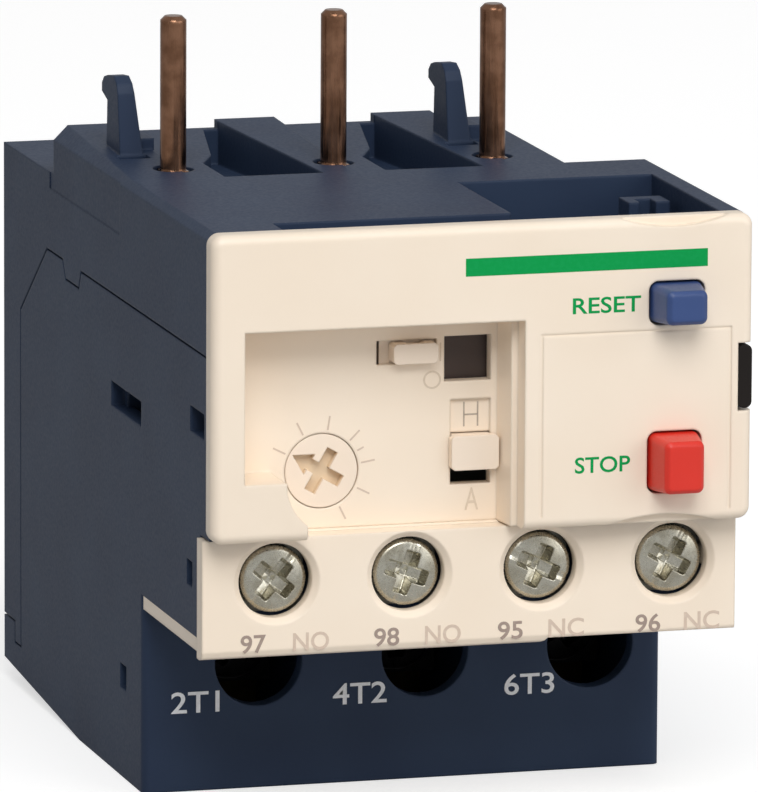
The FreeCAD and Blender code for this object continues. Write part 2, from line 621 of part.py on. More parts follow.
def front_cover():
    plate = soft_box(-COVER_HALF, COVER_HALF, 0, COVER_T, COVER_Z0, COVER_Z1,
                     V(0, 1, 0), 1.0)
    front = [e for e in plate.Edges if abs(e.BoundBox.YMin - y_at(0)) < 1e-3
             and abs(e.BoundBox.YMax - y_at(0)) < 1e-3]
    plate = plate.makeFillet(COVER_EDGE_R, front)
    limit = INNER - GAP
    top = TOP_Z - NICHE_FRONT_DEPTH - NICHE_FLOOR_T - 0.3
    skirt = box(-limit, limit, COVER_T - 0.5, SKIRT_D, BAY_FLOOR_Z + GAP, top)
    skirt = skirt.cut(box(-limit + 1.1, limit - 1.1, 0, SKIRT_D + 1, BAY_FLOOR_Z + 1.1, top - 1.1))
    basin = recess_outline(wall=FLOOR_T).extrude(V(0, RECESS_DEPTH + FLOOR_T, 0))
    basin = basin.common(fuse([box(-limit, limit, 0.9, DEPTH, BAY_FLOOR_Z + GAP, top),
                               box(RECESS_STEP_X - FLOOR_T, RECESS_X1 + FLOOR_T, 0.9, DEPTH,
                                   COVER_Z0, BAY_FLOOR_Z + 1)]))
    pieces = [plate, skirt, basin]
    for x, z, w, h in ((RESET_X, RESET_Z, RESET_W, RESET_H), (STOP_X, STOP_Z, STOP_W, STOP_H)):
        guide = button_hole(x, z, w, h, GUIDE_D, GUIDE_T)
        pieces.append(guide.common(box(-limit, limit, 0.9, DEPTH, BAY_FLOOR_Z + GAP, top)))
    for side in (-1, 1):
        arm0, arm1 = sorted((side * limit, side * (limit - 1.0)))
        pieces.append(box(arm0, arm1, COVER_T - 0.5, 7.0, SNAP_Z0, SNAP_Z1))
        pieces.append(profile_z([(side * (limit - 0.5), 4.2), (side * (INNER + 0.9), 4.2),
                                 (side * limit, 7.0), (side * (limit - 0.5), 7.0)],
                                SNAP_Z0, SNAP_Z1))
    cover = fuse(pieces)
    cuts = [recess_cutter(), button_hole(RESET_X, RESET_Z, RESET_W, RESET_H, GUIDE_D + 1),
            button_hole(STOP_X, STOP_Z, STOP_W, STOP_H, GUIDE_D + 1),
            rod_y(DIAL_X, DIAL_Z, RECESS_DEPTH - 1, BEHIND_D + 1, DIAL_R + RUN),
            box(SELECTOR_X0, SELECTOR_X1, RECESS_DEPTH - 1, BEHIND_D + 1, SELECTOR_Z0,
                SELECTOR_Z1),
            box(SELECTOR_X0, SELECTOR_X1, RECESS_DEPTH - 1, RECESS_DEPTH + LETTER_PAD_DEPTH,
                SELECTOR_Z1 - 0.1, LETTER_PAD_Z1),
            box(TEST_X0 - TEST_TRAVEL - GAP, TEST_X1 + GAP, RECESS_DEPTH - 1, BEHIND_D + 1,
                TEST_Z0 - GAP, TEST_Z1 + GAP),
            box(TEST_X0 - TEST_TRAVEL - 0.8 - SLIP, TEST_X1 + TEST_LIP + SLIP,
                RECESS_DEPTH + TEST_FLOOR_T, BEHIND_D + 1, TEST_Z0 - 0.9 - SLIP,
                TEST_Z1 + 0.8 + SLIP),
            box(WINDOW_X0, WINDOW_X1, RECESS_DEPTH - 1, BEHIND_D + 1, WINDOW_Z0, WINDOW_Z1),
            box(COVER_HALF - LATCH_INSET, COVER_HALF + 1, -1, COVER_T + 1, LATCH_Z0 - SLIP,
                LATCH_Z1 + SLIP),
            box(INNER - 1.2, COVER_HALF, COVER_T - 0.9, SKIRT_D + 1, LATCH_Z0 + 1.9,
                LATCH_Z1 - 0.7)]
    reach = SCOOP_R - SCOOP_DEPTH
    for x, z in ((COVER_HALF - 6.6, COVER_Z1 + reach), (COVER_HALF - 7.4, COVER_Z0 - reach)):
        cuts.append(Part.makeCylinder(SCOOP_R, 3.0, V(x, y_at(-2.2), z), V(0, 1, 0)))
    line = 0.2
    cuts += [box(PANEL_X0, PANEL_X1, -1, PANEL_GROOVE, PANEL_Z, PANEL_Z + line),
             box(PANEL_X0, PANEL_X0 + line, -1, PANEL_GROOVE, COVER_Z0 + 1, PANEL_Z + line),
             box(PANEL_X1 - line, PANEL_X1, -1, PANEL_GROOVE, COVER_Z0 + 1, PANEL_Z + line)]
    return cover.cut(fuse(cuts))


def terminal_cover():
    """Front strip of the auxiliary terminals and the shelf that runs back under them."""
    top = COVER_Z0 - GAP
    profile = [(STRIP_D, top), (STRIP_D, STRIP_Z0 + 0.7), (STRIP_D + 0.25, STRIP_Z0 + 0.2),
               (STRIP_D + 0.8, STRIP_Z0), (STRIP_D + STRIP_T, STRIP_Z0),
               (STRIP_D + STRIP_T, top)]
    strip = profile_x(profile, -COVER_HALF, HALF)
    strip = strip.cut(profile_y([(5.0, STRIP_Z0 - 1), (6.4, STRIP_Z0 + 0.45),
                                 (HALF + 1, STRIP_Z0 + 0.45), (HALF + 1, STRIP_Z0 - 1)],
                                STRIP_D - 1, STRIP_D + STRIP_T + 1))
    shelf_z = SHELF_TOP_Z - SHELF_T
    shelf = box(-HALF, HALF, STRIP_D + 1.0, LOWER_D - SHELF_REAR_GAP, shelf_z, SHELF_TOP_Z)
    arms = []
    for side in (-1, 1):
        arm0, arm1 = sorted((side * (INNER - 0.1), side * (INNER - 0.7)))
        arms.append(box(arm0, arm1, STRIP_D + 1.0, 8.7, CLIP_Z0, CLIP_Z1))
        arms.append(profile_z([(side * (INNER - 0.3), 7.5), (side * (INNER + 0.7), 7.5),
                               (side * (INNER - 0.1), 8.7), (side * (INNER - 0.3), 8.7)],
                              CLIP_Z0, CLIP_Z1))
    cover = fuse([strip, shelf] + arms)
    cuts = []
    for k in range(4):
        x = aux_x(k)
        cuts.append(rod_y(x, AUX_Z, STRIP_D - 1, STRIP_D + STRIP_T + 1, AUX_HOLE_R))
        cuts.append(Part.makeCone(AUX_HOLE_R + 0.5, AUX_HOLE_R, 0.5, V(x, y_at(STRIP_D), AUX_Z),
                                  V(0, 1, 0)))
        cuts.append(box(x - WIRE_ENTRY_HALF, x + WIRE_ENTRY_HALF, WIRE_ENTRY_D, AUX_PLATE_D - 0.1,
                        shelf_z - 1, SHELF_TOP_Z + 1))
    return cover.cut(fuse(cuts))


def side_latch():
    """Black latch that shows in the notch at the cover's right-hand edge."""
    x1 = COVER_HALF
    z0, z1 = LATCH_Z0 + 2.1, LATCH_Z1 - 0.9
    head = soft_box(x1 - LATCH_INSET + 0.05, x1, 0.25, COVER_T, LATCH_Z0, LATCH_Z1, V(0, 1, 0),
                    0.55)
    stem = box(INNER - 1.0, INNER - GAP, COVER_T - 0.8, 8.5, z0, z1)
    bridge = box(INNER - 1.0, x1 - 0.3, COVER_T - 0.8, COVER_T, z0, z1)
    return fuse([head, stem, bridge])


# ---- power path ----
def line_pin(k):
    """Round line pin on a square shank and a flat copper bar that runs back over its heater."""
    x, shank = pin_x(k), PIN_SHANK_HALF
    top = TOP_Z + PIN_HEIGHT
    bar_z0, bar_z1 = RUN_Z - 1.0, RUN_Z + 0.4
    rod = rod_z(x, PIN_D, TOP_Z - 1, top, PIN_R)
    rod = rod.makeChamfer(PIN_TIP_CUT, [e for e in rod.Edges if e.BoundBox.ZMin > top - 0.01])
    pin = fuse([box(x - shank, x + shank, PIN_D - shank, PIN_D + shank, bar_z0, TOP_Z), rod])
    half, rear = BAR_HALF, STRIP_DEPTH0 + 3.0
    tab = x + BIMETAL_T / 2 + HEATER_GAP + HEATER_T + 0.5
    bar = profile_z([(x - half, PIN_D - 1), (x - half + 1, PIN_D - 2), (x + half - 1, PIN_D - 2),
                     (x + half, PIN_D - 1), (x + half, STRIP_DEPTH0 - 2.0), (tab, STRIP_DEPTH0),
                     (tab, rear), (x - half, rear)], bar_z0, bar_z1)
    return fuse([pin, bar])


def bimetal_strip(k):
    """Strip with clipped top corners and a rounded foot that sits on its terminal bar."""
    x, r = pin_x(k), BIMETAL_T / 2
    strip = profile_x([(STRIP_DEPTH0, PIVOT_Z), (STRIP_DEPTH0, TIP_Z - 0.8),
                       (STRIP_DEPTH0 + 0.8, TIP_Z), (STRIP_DEPTH1 - 0.8, TIP_Z),
                       (STRIP_DEPTH1, TIP_Z - 0.8), (STRIP_DEPTH1, PIVOT_Z)], x - r, x + r)
    return fuse([strip, rod_y(x, PIVOT_Z, STRIP_DEPTH0, STRIP_DEPTH1, r)])


def heater_winding(k):
    """Flat resistance ribbon wound round a bimetal strip, welded to pin and terminal bar."""
    x = pin_x(k)
    hx = BIMETAL_T / 2 + HEATER_GAP + HEATER_T
    d0, d1 = STRIP_DEPTH0 - HEATER_GAP - HEATER_T, STRIP_DEPTH1 + HEATER_GAP + HEATER_T
    turns = []
    for i in range(HEATER_TURNS):
        z0 = HEATER_Z0 + i * HEATER_PITCH
        turns.append(profile_z(clipped(x - hx, x + hx, d0, d1, 0.7), z0, z0 + HEATER_RIBBON))
        middle = (d0 + d1) / 2 + (1.6 if i % 2 else -1.6)
        if i < HEATER_TURNS - 1:
            turns.append(box(x + hx - HEATER_T, x + hx, middle - 0.7, middle + 0.7,
                             z0 + HEATER_RIBBON / 2, z0 + HEATER_PITCH + HEATER_RIBBON / 2))
    top = HEATER_Z0 + (HEATER_TURNS - 1) * HEATER_PITCH
    turns.append(box(x + hx - HEATER_T, x + hx, STRIP_DEPTH0 + 0.5, STRIP_DEPTH0 + 2.2,
                     top + HEATER_RIBBON / 2, RUN_Z - 1.0))
    turns.append(box(x - hx, x - hx + HEATER_T, STRIP_DEPTH0 + 1.4, STRIP_DEPTH1 - 1.4,
                     PIVOT_Z - 3.0, HEATER_Z0 + 0.4))
    hollow = profile_z(clipped(x - hx + HEATER_T, x + hx - HEATER_T, d0 + HEATER_T,
                               d1 - HEATER_T, 0.3), HEATER_Z0 - 4, top + HEATER_PITCH + 1)
    foot = box(x - hx, x - FOOT_T / 2, STRIP_DEPTH0 + 1.4, STRIP_DEPTH1 - 1.4, PIVOT_Z - 3.0,
               PIVOT_Z - 1.6)
    return fuse([fuse(turns).cut(hollow), foot])


def load_terminal(k):
    """Copper bar from the upright under a bimetal strip to the plate of its terminal."""
    xp, xh = pin_x(k), load_x(k)
    z0, z1 = POWER_FLOOR_Z, POWER_FLOOR_Z + BAR_T
    left = xp - FOOT_T / 2
    bar = profile_z([(left, STRIP_DEPTH1), (left, STRIP_DEPTH0), (xh - 1.5, BAR_BEND_D),
                     (xh - 1.5, LOAD_PLATE_D), (xh + 1.5, LOAD_PLATE_D), (xh + 1.5, BAR_BEND_D),
                     (left + 3.4, STRIP_DEPTH0 + 0.5), (left + 3.4, STRIP_DEPTH1)], z0, z1)
    upright = box(left, left + FOOT_T, STRIP_DEPTH0, STRIP_DEPTH1, z0, PIVOT_Z - BIMETAL_T / 2)
    plate = profile_y(clipped(xh - 4.0, xh + 4.0, z0, LOAD_Z + 3.8, 0.6), LOAD_PLATE_D,
                      LOAD_PLATE_D + LOAD_PLATE_T)
    bore = rod_y(xh, LOAD_Z, LOAD_PLATE_D - 1, LOAD_PLATE_D + 3, LOAD_SCREW_R + RUN)
    return fuse([bar, upright, plate]).cut(bore)


def clamp_washer(x, z, d, half, thick, bore):
    """Square captive clamp plate, its side lips turned back towards the wire."""
    rear = d + thick
    lip = 0.6
    channel = [(x - half, d), (x + half, d), (x + half, rear + lip), (x + half - lip, rear + lip),
               (x + half - lip, rear), (x - half + lip, rear), (x - half + lip, rear + lip),
               (x - half, rear + lip)]
    return profile_z(channel, z - half, z + half).cut(rod_y(x, z, d - 1, rear + 1, bore))


def terminal_screw(x, z, d, head, shank, turn):
    """Screw with a combined slot and cross drive, turned by its own angle."""
    head_r, head_t = head
    shank_r, shank_end = shank
    bevel = 0.4
    y = y_at(0)
    half_section = [(0, d), (head_r - bevel, d), (head_r, d + bevel), (head_r, d + head_t),
                    (shank_r, d + head_t), (shank_r, shank_end), (0, shank_end)]
    corners = [V(x + r, y + depth, z) for r, depth in half_section]
    blank = Part.Face(Part.makePolygon(corners + corners[:1])).revolve(V(x, y, z), V(0, 1, 0), 360)
    deep = d + head_t * 0.55
    drive = fuse([box(x - head_r * 0.8, x + head_r * 0.8, d - 1, deep, z - 0.42, z + 0.42),
                  box(x - 0.42, x + 0.42, d - 1, deep, z - head_r * 0.62, z + head_r * 0.62)])
    drive.rotate(V(x, y, z), V(0, 1, 0), turn)
    return blank.cut(drive)


def load_clamp(k):
    return clamp_washer(load_x(k), LOAD_Z, LOAD_HEAD_D + LOAD_HEAD_T, LOAD_CLAMP_HALF,
                        LOAD_WASHER_T, LOAD_SCREW_R + RUN)


def load_screw(k):
    return terminal_screw(load_x(k), LOAD_Z, LOAD_HEAD_D, (LOAD_HEAD_R, LOAD_HEAD_T),
                          (LOAD_SCREW_R, LOAD_PLATE_D + LOAD_PLATE_T + 0.8), 20 + 35 * k)


# ---- auxiliary path ----
def aux_terminal(k):
    """Brass plate of an auxiliary terminal and the tail that carries its fixed contact."""
    x = aux_x(k)
    closed = k >= 2
    pad = NC_PAD_D if closed else NO_PAD_D
    thick = AUX_PLATE_T
    z0, z1 = BAY_FLOOR_Z + 0.1, BAY_FLOOR_Z + 0.1 + thick
    tail = AUX_TAIL_HALF
    plate = profile_y(clipped(x - 3.2, x + 3.2, SHELF_TOP_Z + BAY_FLOOR_T, AUX_Z + 3.2, 0.5),
                      AUX_PLATE_D, AUX_PLATE_D + thick)
    riser = box(x - tail, x + tail, AUX_PLATE_D, AUX_PLATE_D + thick, AUX_Z, z1)
    runner = box(x - tail, x + tail, AUX_PLATE_D, pad + thick, z0, z1)
    upright = box(x - tail, x + tail, pad, pad + thick, z0, CONTACT_Z + TIP_R)
    tip = (rod_y(x, CONTACT_Z, pad + thick, pad + thick + TIP_T, TIP_R) if closed
           else rod_y(x, CONTACT_Z, pad - TIP_T, pad, TIP_R))
    bore = rod_y(x, AUX_Z, AUX_PLATE_D - 1, AUX_PLATE_D + 2, AUX_SCREW_R + RUN)
    return fuse([plate, riser, runner, upright, tip]).cut(bore)


def aux_clamp(k):
    return clamp_washer(aux_x(k), AUX_Z, AUX_HEAD_D + AUX_HEAD_T, AUX_CLAMP_HALF,
                        AUX_WASHER_T, AUX_SCREW_R + RUN)


def aux_screw(k):
    return terminal_screw(aux_x(k), AUX_Z, AUX_HEAD_D, (AUX_HEAD_R, AUX_HEAD_T),
                          (AUX_SCREW_R, AUX_PLATE_D + AUX_PLATE_T + 1.0), (28, 62, -20, 50)[k])


# ---- controls ----
def push_button(x, z, w, h, rod_end):
    """Tapered button cap, its square shank in the guide, its flange and its rod."""
    shank_w, shank_h = w - 2 * SLIP, h - 2 * SLIP
    cap = tapered_block(x, z, (shank_w - 2 * BUTTON_TAPER, shank_h - BUTTON_TAPER),
                        (shank_w, shank_h), (-BUTTON_PROUD, 0.2), 0.55)
    front = [e for e in cap.Edges if abs(e.BoundBox.YMax - y_at(-BUTTON_PROUD)) < 1e-3]
    cap = cap.makeChamfer(0.3, front)
    shank = Part.Face(rect_wire(x, z, shank_w, shank_h, 0.55, 0.2)).extrude(V(0, GUIDE_D, 0))
    flange_d = GUIDE_D + SLIP
    flange = box(x - shank_w / 2 - 0.6, x + shank_w / 2 + 0.6, flange_d, flange_d + FLANGE_T,
                 z - shank_h / 2, z + shank_h / 2)
    rod = rod_y(x, z, flange_d, rod_end, BUTTON_ROD_R)
    return fuse([cap, shank, flange, rod])


def coil_spring(x, z, d0, d1):
    """Round compression spring of square wire."""
    length = d1 - d0 - SPRING_WIRE
    helix = Part.makeHelix(length / SPRING_TURNS, length, SPRING_R)
    half = SPRING_WIRE / 2
    corners = [V(SPRING_R - half, 0, -half), V(SPRING_R + half, 0, -half),
               V(SPRING_R + half, 0, half), V(SPRING_R - half, 0, half)]
    section = Part.makePolygon(corners + corners[:1])
    coil = Part.Wire(helix.Edges).makePipeShell([section], True, True)
    coil.rotate(V(0, 0, 0), V(1, 0, 0), -90)
    coil.translate(V(x, y_at(d0 + half), z))
    return coil


def button_spring(x, z):
    return coil_spring(x, z, GUIDE_D + SLIP + FLANGE_T + 0.05, FRAME_D - 0.05)


def cam_face():
    """Snail cam: its radius grows evenly over the dial's sweep, then falls back."""
    y = y_at(CAM_D0)
    points = []
    for i in range(CAM_STEPS + 1):
        turn = CAM_SWEEP * i / CAM_STEPS
        radius = CAM_R + CAM_RISE * i / CAM_STEPS
        a = math.radians(90 + turn)
        points.append(V(DIAL_X + radius * math.cos(a), y, DIAL_Z + radius * math.sin(a)))
    spiral = Part.BSplineCurve()
    spiral.interpolate(points)
    a = math.radians(90 + CAM_SWEEP + (360 - CAM_SWEEP) / 2)
    back = V(DIAL_X + CAM_R * math.cos(a), y, DIAL_Z + CAM_R * math.sin(a))
    return Part.Face(Part.Wire([spiral.toShape(), Part.makeLine(points[-1], back),
                                Part.makeLine(back, points[0])]))


def setting_dial():
    """Dial: flush face with a cross and arrow drive, a flange, a shaft and a snail cam."""
    face_d = RECESS_DEPTH + 0.05
    knob = rod_y(DIAL_X, DIAL_Z, face_d, BEHIND_D + 0.1, DIAL_R)
    flange = rod_y(DIAL_X, DIAL_Z, BEHIND_D, BEHIND_D + 0.7, DIAL_R + 0.6)
    shaft = rod_y(DIAL_X, DIAL_Z, BEHIND_D, FRAME_D + FRAME_T + 0.5, DIAL_SHAFT_R)
    cam = cam_face().extrude(V(0, CAM_D1 - CAM_D0, 0))
    depth = DRIVE_DEPTH
    arms = [box(DIAL_X - 0.5, DIAL_X + 0.5, face_d - 1, face_d + depth, DIAL_Z - 1.9,
                DIAL_Z + 1.9),
            box(DIAL_X - 1.2, DIAL_X + 1.9, face_d - 1, face_d + depth, DIAL_Z - 0.5,
                DIAL_Z + 0.5),
            profile_y([(DIAL_X - 2.75, DIAL_Z), (DIAL_X - 1.1, DIAL_Z - 0.95),
                       (DIAL_X - 1.1, DIAL_Z + 0.95)], face_d - 1, face_d + depth)]
    drive = fuse(arms)
    drive.rotate(V(DIAL_X, y_at(0), DIAL_Z), V(0, 1, 0), 30)
    return fuse([knob, flange, shaft, cam]).cut(drive)


def adjusting_slide():
    """Follower that rides on the snail cam and slides up in the mechanism frame."""
    body = profile_y(clipped(DIAL_X - 1.3, DIAL_X + 1.3, FOLLOWER_Z, FOLLOWER_Z + 5.5, 0.4),
                     CAM_D0 - 0.1, FRAME_D - 0.3)
    tongue = box(DIAL_X - 0.5, DIAL_X + 0.5, FRAME_D - 0.5, FRAME_D + FRAME_T + 2.0,
                 FOLLOWER_Z + 2.2, FOLLOWER_Z + 4.6)
    return fuse([body, tongue])


def mode_selector():
    """Manual or automatic reset selector: a back plate with a grip in front of the floor."""
    z0 = SELECTOR_GRIP_Z
    plate = box(SELECTOR_X0 - 0.9, SELECTOR_X1 + 0.9, BEHIND_D, BEHIND_D + 0.8, z0,
                SELECTOR_Z1 + SELECTOR_TRAVEL + 0.5)
    neck = box(SELECTOR_X0 + SLIP / 2, SELECTOR_X1 - SLIP / 2, RECESS_DEPTH - 0.5, BEHIND_D + 0.4,
               z0, z0 + SELECTOR_GRIP_H)
    grip = profile_y(clipped(SELECTOR_X0 - 0.15, SELECTOR_X1 + 0.45, z0, z0 + SELECTOR_GRIP_H,
                             0.25), RECESS_DEPTH - 1.0, RECESS_DEPTH - 0.15)
    middle = (SELECTOR_X0 + SELECTOR_X1) / 2
    stem = box(middle - 0.75, middle + 0.75, BEHIND_D + 0.5, FRAME_D - 0.6, z0 + 0.4, z0 + 2.4)
    return fuse([plate, neck, grip, stem])


def test_lever():
    """Test tab: a small block with a scooped top, its flange behind the recess floor."""
    tab = profile_y(clipped(TEST_X0, TEST_X1, TEST_Z0, TEST_Z1, 0.25), RECESS_DEPTH - TEST_PROUD,
                    RECESS_DEPTH + 0.5)
    scoop = rod_y((TEST_X0 + TEST_X1) / 2 + 0.1, TEST_Z1 + 0.45, RECESS_DEPTH - TEST_PROUD + 0.4,
                  RECESS_DEPTH + 0.6, 0.9)
    land = RECESS_DEPTH + TEST_FLOOR_T + 0.05
    stem = box(TEST_X0, TEST_X1, RECESS_DEPTH + 0.4, BEHIND_D + 0.4, TEST_Z0, TEST_Z1 - 0.6)
    flange = box(TEST_X0 - 0.8, TEST_X1 + TEST_LIP, land, BEHIND_D + 0.7, TEST_Z0 - 0.9,
                 TEST_Z1 + 0.8)
    finger = box(TEST_X0 + 0.6, TEST_X0 + 1.9, BEHIND_D + 0.5, FRAME_D - 0.5, TEST_Z0, TEST_Z1)
    return fuse([tab.cut(scoop), stem, flange, finger])


# ---- trip mechanism ----
def mechanism_frame():
    """Moulded frame behind the controls: bores, slots and the ears of the rocker pivot."""
    low_top = TOP_Z - NICHE_DEPTH - NICHE_FLOOR_T - GAP
    limit = INNER - GAP
    outline = [(-limit, BAY_FLOOR_Z), (limit, BAY_FLOOR_Z), (limit, low_top),
               (NICHE_X0 - 1.5, low_top), (NICHE_X0 - 1.5, TOP_Z - TOP_T - GAP),
               (-limit, TOP_Z - TOP_T - GAP)]
    plate = profile_y(outline, FRAME_D, FRAME_D + FRAME_T)
    pieces = [plate]
    ear_z = ROCKER_Z - 2.4
    for x0 in (-ROCKER_HALF - 0.4 - EAR_T, ROCKER_HALF + 0.4):
        ear = box(x0, x0 + EAR_T, FRAME_D + 0.5, ROCKER_D + 2.6, ear_z, ROCKER_Z + 2.4)
        pieces.append(round_edges(ear, V(1, 0, 0), 2.0,
                                  lambda p: p.y > y_at(ROCKER_D + 2.5)))
    frame = fuse(pieces)
    cuts = [rod_y(DIAL_X, DIAL_Z, FRAME_D - 1, FRAME_D + 3, DIAL_SHAFT_R + RUN),
            rod_y(RESET_X, RESET_Z, FRAME_D - 1, FRAME_D + 3, BUTTON_ROD_R + RUN),
            rod_y(STOP_X, STOP_Z, FRAME_D - 1, FRAME_D + 3, BUTTON_ROD_R + RUN),
            box(DIAL_X - 0.5 - RUN, DIAL_X + 0.5 + RUN, FRAME_D - 1, FRAME_D + 3,
                FOLLOWER_Z + 2.0, FOLLOWER_Z + 4.6 + CAM_RISE + SLIP),
            box(-1.9, 1.9, FRAME_D - 1, FRAME_D + 3, FLAG_ARM_Z - 4.0, FLAG_ARM_Z + 2.6),
            rod_x(ROCKER_D, ROCKER_Z, -ROCKER_HALF - 5, ROCKER_HALF + 5, PIVOT_R)]
    for k in range(4):
        cuts.append(box(aux_x(k) - AUX_TAIL_HALF - SLIP, aux_x(k) + AUX_TAIL_HALF + SLIP,
                        FRAME_D - 1, FRAME_D + 3, BAY_FLOOR_Z - 1,
                        BAY_FLOOR_Z + AUX_PLATE_T + 0.1 + SLIP))
    return frame.cut(fuse(cuts))


def rocker_pin():
    reach = ROCKER_HALF + 0.4 + EAR_T
    return rod_x(ROCKER_D, ROCKER_Z, -reach, reach, PIVOT_R)


def trip_rocker():
    """Rocker of the trip latch: hub, carrier arm, flag arm and the latched upper arm."""
    hub = rod_x(ROCKER_D, ROCKER_Z, -ROCKER_HALF, ROCKER_HALF, ROCKER_HUB_R)
    lower = profile_x([(ROCKER_D - 2.0, ROCKER_Z), (ROCKER_D - 2.5, CARRIER_Z1 - 1.4),
                       (ROCKER_D - 0.9, CARRIER_Z1 - 1.4), (ROCKER_D + 1.6, ROCKER_Z)], -3.5, 3.5)
    flag_arm = profile_x([(ROCKER_D, ROCKER_Z + 0.5), (FLAG_ARM_D, FLAG_ARM_Z - 0.7),
                          (FLAG_ARM_D, FLAG_ARM_Z + 0.7), (ROCKER_D, ROCKER_Z + 2.1)], -1.2, 1.2)
    upper = profile_x([(ROCKER_D - 1.2, ROCKER_Z), (ROCKER_D - 0.7, CROSS_Z1),
                       (ROCKER_D + 0.7, CROSS_Z1), (ROCKER_D + 1.2, ROCKER_Z)],
                      -ROCKER_HALF, ROCKER_HALF)
    cross_arm = box(LEVER_X + 1.3, RESET_X + 1.2, ROCKER_D - 0.7, ROCKER_D + 0.7, CROSS_Z0,
                    CROSS_Z1)
    body = fuse([hub, lower, flag_arm, upper, cross_arm])
    return body.cut(rod_x(ROCKER_D, ROCKER_Z, -ROCKER_HALF - 1, ROCKER_HALF + 1, PIVOT_R + RUN))


def trip_flag():
    """Indicator flag behind the window, with a stem and fork on the rocker's flag arm."""
    plate = box(WINDOW_X0 - 0.3, WINDOW_X1 + 0.3, FLAG_D, FLAG_D + FLAG_T, WINDOW_Z0 - 0.4,
                WINDOW_Z1 + 2.2)
    stem = box(-1.2, 1.2, FLAG_D + 0.3, FRAME_D + FRAME_T + 0.4, FLAG_ARM_Z - 1.6,
               FLAG_ARM_Z + 1.6)
    prongs = [box(-1.2, 1.2, FRAME_D + FRAME_T, FLAG_FORK_D, z0, z0 + 0.9)
              for z0 in (FLAG_ARM_Z + 1.0, FLAG_ARM_Z - 1.9)]
    return fuse([plate, stem] + prongs)


def bridge_bar(x0, x1, d, rear_tips, tail):
    """Moving contact bridge: a brass bar with two silver tips."""
    bar = profile_y(clipped(x0 - 1.3, x1 + 1.3, CONTACT_Z - BRIDGE_HALF, CONTACT_Z + BRIDGE_HALF,
                            0.4), d, d + STRIP_BRIDGE_T)
    tips = []
    for x in (x0, x1):
        start = d + STRIP_BRIDGE_T if rear_tips else d - TIP_T
        tips.append(rod_y(x, CONTACT_Z, start, start + TIP_T, TIP_R))
    return fuse([bar] + tips + tail)


def nc_bridge_d():
    return NC_PAD_D + AUX_PLATE_T + 2 * TIP_T + 0.02


def no_bridge_d():
    return NO_PAD_D - 2 * TIP_T - STRIP_BRIDGE_T - CONTACT_TRAVEL - 0.05


def nc_contact_bridge():
    d = nc_bridge_d()
    tail = [box(STOP_X - 1.2, STOP_X + 1.2, d, d + STRIP_BRIDGE_T, CONTACT_Z, STOP_Z + 1.2)]
    return bridge_bar(aux_x(2), aux_x(3), d, False, tail)


def no_contact_bridge():
    return bridge_bar(aux_x(0), aux_x(1), no_bridge_d(), True, [])


def contact_carrier():
    """Slide that holds both bridges and is driven by the rocker's lower arm."""
    nc_x, no_x = (aux_x(2) + aux_x(3)) / 2, (aux_x(0) + aux_x(1)) / 2
    nc_d, no_d = nc_bridge_d(), no_bridge_d()
    half = CARRIER_POST_HALF
    bar = profile_x(clipped(CARRIER_D0, CARRIER_D1, CARRIER_Z0, CARRIER_Z1, 0.4), no_x - half - 1,
                    nc_x + half + 1)
    yoke = box(-YOKE_HALF, YOKE_HALF, CARRIER_D1 - 0.5, ROCKER_D + 0.9, CARRIER_Z0, CARRIER_Z1)
    z0, low, high = CONTACT_Z - 1.4, CONTACT_Z - BRIDGE_HALF - 0.1, CONTACT_Z + BRIDGE_HALF + 0.1
    posts = [box(x - half, x + half, d - 0.9, CARRIER_D1, z0, CARRIER_Z0 + 0.5)
             for x, d in ((nc_x, nc_d), (no_x, no_d))]
    slots = [box(nc_x - 2, nc_x + 2, nc_d - 0.1, nc_d + STRIP_BRIDGE_T + CONTACT_TRAVEL + 0.1,
                 low, high),
             box(no_x - 2, no_x + 2, no_d - 0.1, no_d + STRIP_BRIDGE_T + 0.1, low, high),
             box(0.7 - YOKE_HALF, YOKE_HALF - 0.7, ROCKER_D - 2.8, ROCKER_D - 0.2,
                 CARRIER_Z0 - 1, CARRIER_Z1 + 1)]
    return fuse([bar, yoke] + posts).cut(fuse(slots))


# ---- differential slides and compensation lever ----
def lever_post(d):
    """Shouldered post on a slide that carries one end of the differential lever."""
    top = SLIDE_Z0 + SLIDE_H
    return [rod_z(LINK_X, d, top - 1, top + LINK_LIFT, LINK_POST_R + 0.6),
            rod_z(LINK_X, d, top - 1, top + LINK_LIFT + LINK_T + 0.3, LINK_POST_R)]


def slide_bar(d, finger_side):
    """Bar that the bimetal tips push through one finger each."""
    bar = box(LINK_X - 1.0, pin_x(2) + 3.2, d, d + SLIDE_T, SLIDE_Z0, SLIDE_Z0 + SLIDE_H)
    near = BIMETAL_T / 2 + GAP
    pieces = [bar]
    middle = (STRIP_DEPTH0 + STRIP_DEPTH1) / 2
    for k in POLES:
        x0, x1 = sorted((pin_x(k) + finger_side * near,
                         pin_x(k) + finger_side * (near + FINGER_T)))
        start, end = sorted((d + SLIDE_T / 2, middle + finger_side * 0.2))
        pieces.append(box(x0, x1, start, end, SLIDE_Z0, SLIDE_Z0 + SLIDE_H))
    return pieces


def differential_slide_front():
    pieces = slide_bar(FRONT_SLIDE_D, -1)
    nose_x = LEVER_X + LEVER_T / 2 + GAP
    pieces.append(box(nose_x, nose_x + 1.6, LEVER_REAR_D - 2.2, FRONT_SLIDE_D + 0.5, SLIDE_Z0,
                      SLIDE_Z0 + SLIDE_H))
    return fuse(pieces + lever_post(FRONT_SLIDE_D + SLIDE_T / 2))


def differential_slide_rear():
    pieces = slide_bar(REAR_SLIDE_D, 1)
    return fuse(pieces + lever_post(REAR_SLIDE_D + SLIDE_T / 2))


